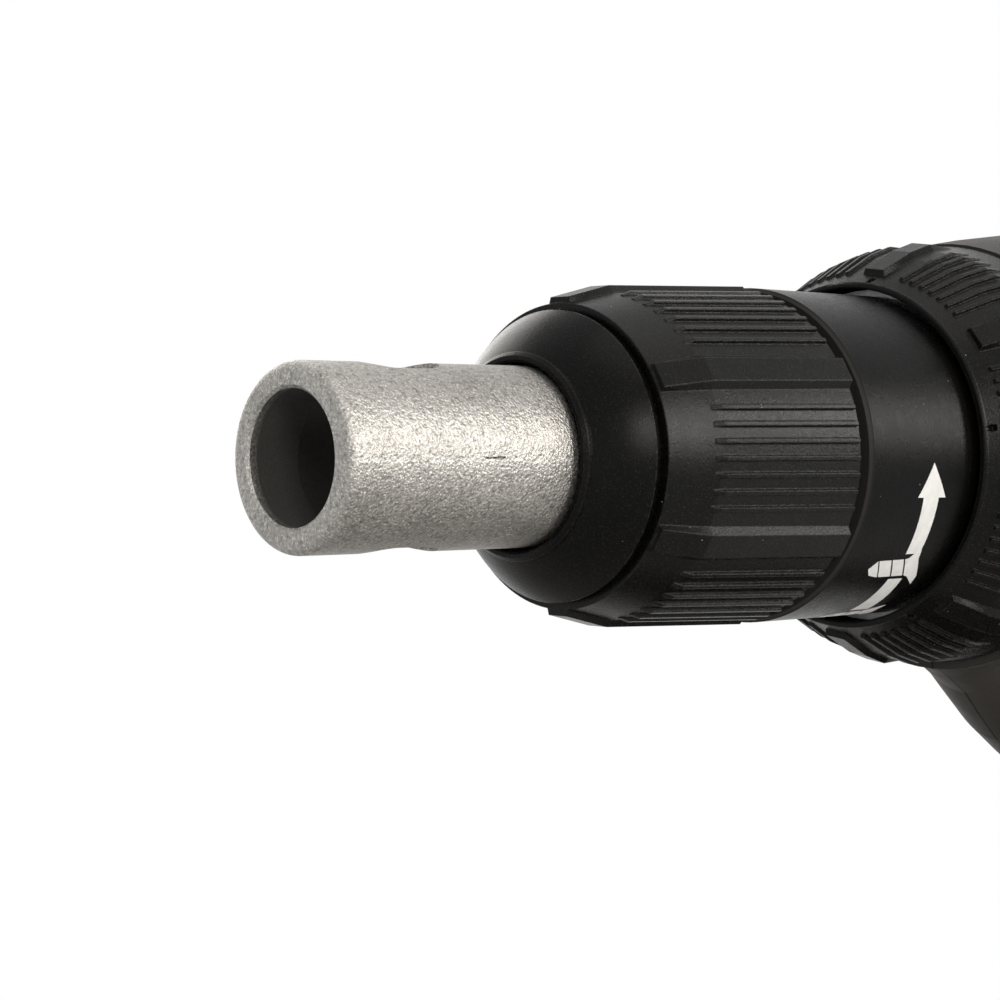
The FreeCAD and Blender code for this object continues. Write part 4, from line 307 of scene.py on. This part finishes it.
def moulded(name, colour, rough, grain=4500.0, depth=0.00003, wear=1.25, dust=0.0, specular=0.5,
            edge=0.0, front=None, seam=False, hollow=None):
    """Moulded plastic or rubber with a fine spark grain and painted glints, faint patches, dust specks and
    rubbed edges.

    front is where along X a paler rim starts, painted light on its shaded front face, seam darkens the
    line where two halves meet, and hollow is the radius of a bore that is dull inside.
    """
    s = Shader(name)
    patch = s.noise(90.0, detail=4.0, rough=0.6)
    fine = s.noise(grain, rough=0.6)
    tone = s.mix(s.ramp(patch, 0.35, 0.7), colour, scaled(colour, wear, 0.002))
    if dust:
        spots = s.cells(1400.0)
        small = s.ramp(spots["Distance"], 0.10, 0.05)
        picked = s.maths("GREATER_THAN", s.axes(spots["Color"])[0], 1.0 - dust)
        tone = s.mix(s.maths("MULTIPLY", small, picked), tone, DUST)
    # Painted light: the shaded front rim of the sleeve is painted paler.
    if front is not None:
        tone = s.mix(s.ramp(s.axes()[0], *(front + d for d in RIM_EDGE)), tone, PAINTED_LIT_RIM)
    if seam:
        beside = s.maths("ABSOLUTE", s.axes()[1])
        tone = s.mix(s.ramp(beside, *SEAM_HALF), tone, scaled(colour, 0.12))
    shine = s.ramp(s.noise(900.0, detail=3.0, rough=0.6), 0.3, 0.7, rough - 0.03, rough + 0.03)
    if hollow is not None:
        dull = s.ramp(s.from_axis(TIP.z), *(hollow + d for d in MOUTH_WALL))
        shine = s.maths("MAXIMUM", shine, dull)
    if not edge:
        return s.finish(tone, shine, 0.0, s.bump(fine, depth), specular)
    round_over = s.softened(edge)
    rubbed = s.ramp(s.turned(round_over), 0.985, 0.90, 0.0, 0.9)
    rubbed = s.maths("MULTIPLY", rubbed, s.ramp(s.noise(1500.0, detail=3.0), 0.4, 0.65))
    # Painted glints: the grain's tops are painted paler, as sparkle.
    tone = s.mix(s.ramp(fine, 0.56, 0.72, 0.0, 0.6), tone, PAINTED_GLINT_TOPS)
    tone = s.mix(rubbed, tone, scaled(colour, 4.0, 0.032))
    return s.finish(tone, shine, 0.0, s.bump(fine, depth, round_over), specular)


def metal(name, colour, rough, grain=2500.0, depth=0.00001, stretch=(1.0, 1.0, 1.0)):
    """Machined metal with directional tool marks and slight staining."""
    s = Shader(name)
    stretched = s.add("ShaderNodeMapping")
    s.plug(s.place, stretched.inputs["Vector"])
    stretched.inputs["Scale"].default_value = stretch
    marks = s.noise(grain, detail=3.0, rough=0.6, source=stretched.outputs[0])
    stain = s.noise(140.0, detail=4.0, rough=0.6)
    tone = s.mix(s.ramp(stain, 0.4, 0.75), colour, scaled(colour, 0.72))
    shine = s.ramp(marks, 0.3, 0.7, rough - 0.08, rough + 0.1)
    return s.finish(tone, shine, 1.0, s.bump(marks, depth))


def cast_alloy():
    """Blasted casting: coarse sparkling grain, a parting line and a scratch on the left, painted shade in
    the bore.
    """
    s = Shader("cast_alloy")
    x, y, z = s.axes()
    along = s.maths("SUBTRACT", x, TIP.x)
    left = s.maths("LESS_THAN", y, LEFT_OF)
    wander = s.maths("MULTIPLY", s.maths("SUBTRACT", s.noise(420.0), 0.5), WANDER)

    def stroke(rise, half):
        """Wandering line along the left side, at a rise above the axis."""
        beside = s.maths("ADD", s.maths("SUBTRACT", z, TIP.z + rise), wander)
        return s.maths("MULTIPLY", s.ramp(s.maths("ABSOLUTE", beside), *half), left)

    grain = s.noise(4300.0, detail=3.0, rough=0.65)
    coarse = s.noise(2000.0, detail=3.0, rough=0.6)
    pits = s.cells(3400.0)["Distance"]
    patch = s.noise(160.0, detail=4.0, rough=0.6)
    tone = s.mix(s.ramp(patch, 0.3, 0.7), ALLOY, ALLOY_PALE)
    tone = s.mix(s.ramp(grain, 0.50, 0.70, 0.0, 0.70), tone, ALLOY_SPARK)
    tone = s.mix(s.ramp(coarse, 0.5, 0.3, 0.0, 0.6), tone, ALLOY_PIT)
    broken = s.ramp(s.noise(700.0, detail=3.0), 0.42, 0.6, 0.05, 0.4)
    line = s.maths("MULTIPLY", stroke(PARTING_RISE, PARTING_HALF), broken)
    tone = s.mix(line, tone, PARTING_LINE)
    reach = s.maths("MULTIPLY", s.maths("GREATER_THAN", along, SCRATCH_START),
                    s.maths("LESS_THAN", along, SCRATCH_END))
    scratch = s.maths("MULTIPLY", stroke(SCRATCH_RISE, SCRATCH_HALF), reach)
    scratch = s.maths("MULTIPLY", scratch, s.ramp(s.noise(900.0), 0.45, 0.55))
    tone = s.mix(scratch, tone, SCRATCH)
    # Painted shade: the bore is painted dark, darkest deeper in, and made duller and less metallic.
    bore = s.ramp(s.from_axis(TIP.z), *BORE_R)
    bore = s.maths("MULTIPLY", bore, s.ramp(along, *BORE_START))
    bore_shade = s.mix(s.ramp(along, *BORE_SHADE_FADE), BORE_SHADE_FRONT, BORE_SHADE_DEEP)
    tone = s.mix(s.maths("MULTIPLY", bore, 0.97), tone, bore_shade)
    height = s.maths("ADD", s.maths("MULTIPLY", grain, 0.6), s.maths("MULTIPLY", pits, 0.55))
    height = s.maths("ADD", height, s.maths("MULTIPLY", coarse, 0.7))
    rough = s.maths("MAXIMUM", s.ramp(grain, 0.3, 0.7, 0.36, 0.50), s.maths("MULTIPLY", bore, 0.8))
    return s.finish(tone, rough, s.ramp(bore, 0.0, 1.0, 0.9, 0.3), s.bump(height, 0.00010))


def printed():
    """White ink with a slightly uneven coat."""
    s = Shader("printed_ink")
    tone = s.mix(s.ramp(s.noise(900.0, detail=3.0), 0.35, 0.65), INK, INK_PALE)
    return s.finish(tone, 0.55, 0.0, s.bump(s.noise(4000.0), 0.00001), 0.15)


def laminated(name, colour):
    """Stack of thin sheets seen edge on along X."""
    s = Shader(name)
    wave = s.maths("SINE", s.maths("MULTIPLY", s.axes()[0], TURN / SHEET))
    tone = s.mix(s.ramp(wave, -1.0, 1.0), scaled(colour, 0.6), colour)
    return s.finish(tone, 0.45, 0.9, s.bump(wave, 0.00003))


def wound(name, colour):
    """Enamelled wire wound in close turns round the motor's axis."""
    s = Shader(name)
    wave = s.maths("SINE", s.maths("MULTIPLY", s.from_axis(MOTOR_Z), TURN / WIRE))
    tone = s.mix(s.ramp(wave, -1.0, 1.0), scaled(colour, 0.45), colour)
    return s.finish(tone, 0.32, 0.8, s.bump(wave, 0.0001))


def board(name, colour):
    """Lacquered circuit board with pale tracks."""
    s = Shader(name)
    tracks = s.cells(320.0, "DISTANCE_TO_EDGE")["Distance"]
    tone = s.mix(s.ramp(tracks, 0.08, 0.05), colour, scaled(colour, 2.2, 0.02))
    return s.finish(tone, 0.35, 0.0, s.bump(tracks, 0.00003))


def clear(name):
    """Clear plastic with a rippled face."""
    s = Shader(name)
    s.base.inputs["Transmission Weight"].default_value = 1.0
    s.base.inputs["IOR"].default_value = 1.49
    ripple = s.cells(900.0)["Distance"]
    return s.finish((0.93, 0.95, 0.97), 0.12, 0.0, s.bump(ripple, 0.0001))


def off_axis(vert):
    """Distance of a point of a CAD mesh from the nose's axis."""
    return math.hypot(vert.co.y, vert.co.z - TIP.z)


def paint(material, *names):
    for name in names:
        slots = NODES[name].data.materials
        slots.clear()
        slots.append(material)


def plastics():
    """Black nose, dark shells, controls, rubber and the plastics inside."""
    mouth = min(off_axis(vert) for vert in NODES["gear_case_cover"].data.vertices)
    # The painted lit rim starts at the front of the sleeve's skin, not of the spigot inside it.
    rim = min(vert.co.x for vert in NODES["nose_sleeve"].data.vertices
              if off_axis(vert) > 0.95 * SLEEVE_R * MM)
    control = dict(colour=(0.0120, 0.0117, 0.0110), specular=0.2)
    shell = dict(colour=(0.036, 0.0325, 0.0295), rough=0.48, grain=3600.0, depth=0.00004, wear=1.2,
                 dust=0.006, specular=0.15)
    paint(moulded("black_grip", (0.0018, 0.0017, 0.0015), 0.27, grain=5200.0, wear=1.3, dust=0.035,
                  specular=0.11, edge=0.00022), "collar_grip")
    paint(moulded("black_cover", (0.0020, 0.0019, 0.0017), 0.27, grain=5200.0, wear=1.3, dust=0.03,
                  specular=0.095, edge=0.00022, hollow=mouth), "gear_case_cover")
    paint(moulded("black_dome", (0.0012, 0.0011, 0.0010), 0.27, grain=5600.0, depth=0.00002, wear=1.3,
                  dust=0.03, specular=0.09, edge=0.0002), "depth_collar")
    paint(moulded("black_satin", (0.0016, 0.0015, 0.0014), 0.28, grain=5600.0, wear=1.3, dust=0.012,
                  specular=0.06, front=rim), "nose_sleeve")
    paint(moulded("black_control", rough=0.45, **control), "trigger", "direction_slider", "lock_button",
          "battery_latch", "belt_hook")
    paint(moulded("black_pack", rough=0.5, grain=3800.0, depth=0.00005, **control), "battery_lower_case")
    paint(moulded("dark_shell", seam=True, **shell), "housing_left", "housing_right")
    paint(moulded("pack_shell", **shell), "battery_upper_case")
    paint(moulded("grip_rubber", (0.013, 0.013, 0.013), 0.72, grain=1300.0, depth=0.00018, wear=1.3,
                  specular=0.2), "grip_pad_left", "grip_pad_right")
    paint(moulded("seal_rubber", (0.01, 0.01, 0.01), 0.5), "neck_o_ring")
    paint(moulded("inner_plastic", (0.05, 0.05, 0.052), 0.5), "motor_fan", "switch_module",
          "terminal_block", "cell_holders")
    paint(moulded("potting", (0.03, 0.03, 0.034), 0.22, grain=700.0, depth=0.0001), "control_module")
    paint(moulded("cell_sleeve", (0.05, 0.2, 0.24), 0.3, grain=1200.0, depth=0.00002), "battery_cells")


def metals():
    """Cast locator, gear case, drive train, springs, contacts and the motor's iron and copper."""
    paint(cast_alloy(), "locator")
    paint(metal("gear_alloy", (0.46, 0.46, 0.47), 0.42, grain=1500.0, depth=0.00005), "gear_case",
          "bearing_plate")
    paint(metal("ground_steel", (0.56, 0.56, 0.57), 0.28, grain=2600.0, depth=0.000008,
                stretch=(0.05, 1.0, 1.0)),
          "spindle", "bit_holder", "holder_clip", "spindle_bearing_outer", "spindle_bearing_inner",
          "spindle_bearing_rollers", "drive_gear", "motor_shaft", "motor_pinion", "motor_bearing_front",
          "motor_bearing_rear", "gear_case_screws", "click_ring", "collar_retainer")
    paint(metal("spring_steel", (0.45, 0.45, 0.46), 0.3), *SPRINGS)
    paint(metal("sintered_bronze", (0.52, 0.35, 0.17), 0.45, grain=3200.0, depth=0.00003), "gear_bush",
          "hook_inserts")
    paint(metal("plated_contact", (0.72, 0.52, 0.27), 0.25), "terminal_blades", "battery_clips")
    paint(metal("plated_magnet", (0.5, 0.5, 0.51), 0.22), "holder_magnet", "rotor_magnets")
    paint(laminated("core_stack", (0.30, 0.30, 0.31)), "rotor_core", "stator_core")
    paint(wound("copper_wire", (0.62, 0.25, 0.10)), "stator_coils")


def materials():
    plastics()
    metals()
    paint(board("circuit_board", (0.015, 0.12, 0.05)), "hall_board", "light_board", "battery_board")
    paint(clear("lamp_lens"), "light_lens")


def wrapped(name, outlines):
    """Thin film bent round the sleeve from flat outlines."""
    film = bmesh.new()
    for outline in outlines:
        film.faces.new([film.verts.new((behind, degrees, 0.0)) for behind, degrees in outline])
    for degrees in range(LOWEST_CUT, 0, CUT_STEP):
        bmesh.ops.bisect_plane(film, geom=film.verts[:] + film.edges[:] + film.faces[:],
                               plane_co=(0.0, degrees, 0.0), plane_no=(0.0, 1.0, 0.0))
    raised = set(bmesh.ops.extrude_face_region(film, geom=film.faces[:])["geom"])
    for vert in film.verts:
        radius = SLEEVE_R + (FILM if vert in raised else -FILM)
        angle = math.radians(vert.co.y)
        round_sleeve = Vector((vert.co.x, -radius * math.cos(angle), radius * math.sin(angle)))
        vert.co = TIP + round_sleeve * MM
    bmesh.ops.recalc_face_normals(film, faces=film.faces[:])
    return placed(name, as_mesh(name, film))


def screw_sign(start, end, half, lean):
    """Screw seen from the side between two places: a blunt point, two shank pieces and a flared head."""
    (a0, p0), (a1, p1) = start, end

    def spot(share, side):
        return (a0 + (a1 - a0) * share - lean * side / 2, p0 + (p1 - p0) * share + half * side)

    shanks = [((first, -1), (last, -1), (last, 1), (first, 1)) for first, last in SIGN_SHANKS]
    return [[spot(*point) for point in outline] for outline in (SIGN_POINT, *shanks, SIGN_HEAD)]


def signs():
    """Printed arrow on the sleeve, from a deep screw at the bottom past a flush one to the arrow's head."""
    piece = wrapped("depth_sign", [ARROW_HEAD, ARROW_UPPER, *screw_sign(*FLUSH_SCREW),
                                   ARROW_LOWER, *screw_sign(*DEEP_SCREW)])
    piece.data.materials.append(printed())
    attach(piece, "nose")


def islands(name):
    """Lowest and highest corner of each separate solid in a node."""
    mesh = bmesh.new()
    mesh.from_mesh(NODES[name].data)
    bmesh.ops.remove_doubles(mesh, verts=mesh.verts, dist=1e-6)
    left = set(mesh.verts)
    boxes = []
    while left:
        found = [left.pop()]
        for vert in found:
            for edge in vert.link_edges:
                other = edge.other_vert(vert)
                if other in left:
                    left.remove(other)
                    found.append(other)
        places = [vert.co for vert in found]
        boxes.append((Vector(map(min, zip(*places))), Vector(map(max, zip(*places)))))
    mesh.free()
    return sorted(boxes, key=lambda pair: tuple(pair[0]))


def screws(node, facing, head, shank, pitch):
    """Pan head screws with a six lobe recess and a rolled thread, one for each plain screw of a node."""
    facing = Vector(facing)
    across = facing.orthogonal().normalized()
    third = facing.cross(across)
    mesh = bmesh.new()
    turns = [TURN * k / HEAD_STEPS for k in range(HEAD_STEPS)]
    lobes = [1 + LOBE_DEPTH * math.cos(LOBES * angle) for angle in turns]

    def spot(top, angle, radius, depth):
        outward = across * math.cos(angle) + third * math.sin(angle)
        return mesh.verts.new(top + outward * radius - facing * depth)

    def skin(rings):
        for first, second in zip(rings, rings[1:]):
            for k in range(len(first)):
                n = (k + 1) % len(first)
                mesh.faces.new((first[k], first[n], second[n], second[k]))
        mesh.faces.new(reversed(rings[0]))
        mesh.faces.new(rings[-1])

    def body(top, wide, long):
        rings = [[spot(top, angle, wide * share * (lobe if share < RECESS else 1), deep * head)
                  for angle, lobe in zip(turns, lobes)] for share, deep in HEAD_PROFILE]
        shaft = ((shank, head), (shank, long - POINT_LONG * shank), (POINT_R * shank, long))
        rings += [[spot(top, angle, radius, depth) for angle in turns] for radius, depth in shaft]
        skin(rings)

    def thread(top, long):
        count = int((long - head - THREAD_SPARE * shank) / pitch * THREAD_STEPS)
        root = ROOT_R * shank
        ridge = []
        for k in range(count + 1):
            rise = CREST * shank * min(1.0, k / RUN_OUT, (count - k) / RUN_OUT) + LEAST_CREST * shank
            depth = head + THREAD_FROM * shank + pitch * k / THREAD_STEPS
            angle = TURN * k / THREAD_STEPS
            ridge.append([spot(top, angle, root, depth - FLANK * pitch),
                          spot(top, angle, shank + rise, depth),
                          spot(top, angle, root, depth + FLANK * pitch)])
        skin(ridge)

    for low, high in islands(node):
        size = high - low
        long = abs(size.dot(facing))
        wide = max(abs(size.dot(across)), abs(size.dot(third))) / 2
        top = (low + high) / 2 + facing * long / 2
        body(top, wide, long)
        thread(top, long)
    bmesh.ops.recalc_face_normals(mesh, faces=mesh.faces)
    return placed(node + "_threaded", as_mesh(node + "_threaded", mesh))


def fasteners():
    """Dark screws of the housing, battery and belt hook."""
    dark = metal("dark_screw", (0.09, 0.09, 0.095), 0.4)
    for node, (body, *form) in SCREWS.items():
        piece = screws(node, *form)
        piece.data.materials.append(dark)
        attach(piece, body)
        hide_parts(node)


def springs():
    """Coil springs, each a copy of its node's mesh attached to its body, with the node hidden."""
    for node, (body, joint, along, held) in SPRINGS.items():
        piece = placed(node + "_coil", NODES[node].data.copy())
        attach(piece, body)
        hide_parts(node)
        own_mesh(piece)


def seen_directly(tree):
    """Share of rays that come from the eye, a mirror or a lens."""
    ray = tree.nodes.new("ShaderNodeLightPath")
    share = ray.outputs["Is Camera Ray"]
    for kind in ("Is Glossy Ray", "Is Transmission Ray"):
        both = tree.nodes.new("ShaderNodeMath")
        both.operation = "MAXIMUM"
        tree.links.new(share, both.inputs[0])
        tree.links.new(ray.outputs[kind], both.inputs[1])
        share = both.outputs[0]
    return share


def floor():
    """Round pale floor that keeps the shadow and fades into the white room at its rim."""
    disc = bmesh.new()
    bmesh.ops.create_circle(disc, cap_ends=True, segments=96, radius=FLOOR_R)
    ground = placed("pale_floor", as_mesh("pale_floor", disc))
    low, high = CAD_BOX
    ground.location = ((low[0] + high[0]) / 2, (low[1] + high[1]) / 2, low[2] - FLOOR_DROP)
    s = Shader("pale_floor")
    x, y, _ = s.axes()
    away = s.ramp(s.length(x, y), *(FLOOR_R * share for share in FLOOR_FADE))
    tone = s.mix(s.noise(60.0, detail=3.0), *FLOOR_TONES)
    s.finish(tone, 0.85, 0.0, s.bump(s.noise(900.0), 0.00002), 0.1)
    white = s.add("ShaderNodeEmission")
    blend = s.add("ShaderNodeMixShader")
    s.plug(s.maths("MULTIPLY", away, seen_directly(s.tree)), blend.inputs[0])
    s.plug(s.base.outputs[0], blend.inputs[1])
    s.plug(white.outputs[0], blend.inputs[2])
    s.plug(blend.outputs[0], s.tree.nodes["Material Output"].inputs["Surface"])
    ground.data.materials.append(s.material)


def light(name, place, size, power):
    """Warm soft lamp that faces the nose and isn't seen itself."""
    data = bpy.data.lights.new(name, "AREA")
    data.shape = "RECTANGLE"
    data.size, data.size_y = size
    data.energy = power
    data.color = WARM
    lamp = placed(name, data)
    lamp.location = place
    lamp.rotation_euler = (LAMP_AIM - Vector(place)).to_track_quat("-Z", "Y").to_euler()
    lamp.visible_camera = False


def surroundings():
    """White room seen by the eye, metal and lenses, a weak fill and six soft lamps."""
    world = bpy.data.worlds.new("white_room")
    bpy.context.scene.world = world
    world.use_nodes = True
    tree = world.node_tree
    tree.nodes.clear()
    out = tree.nodes.new("ShaderNodeOutputWorld")
    shown = tree.nodes.new("ShaderNodeBackground")
    shown.inputs["Color"].default_value = (1, 1, 1, 1)
    fill = tree.nodes.new("ShaderNodeBackground")
    fill.inputs["Color"].default_value = FILL
    choose = tree.nodes.new("ShaderNodeMixShader")
    tree.links.new(seen_directly(tree), choose.inputs[0])
    tree.links.new(fill.outputs[0], choose.inputs[1])
    tree.links.new(shown.outputs[0], choose.inputs[2])
    tree.links.new(choose.outputs[0], out.inputs[0])
    for name, (place, size, power) in LAMPS.items():
        light(name, place, size, power)
    bpy.context.scene.view_settings.view_transform = "Standard"


camera()
materials()
signs()
fasteners()
springs()
floor()
surroundings()
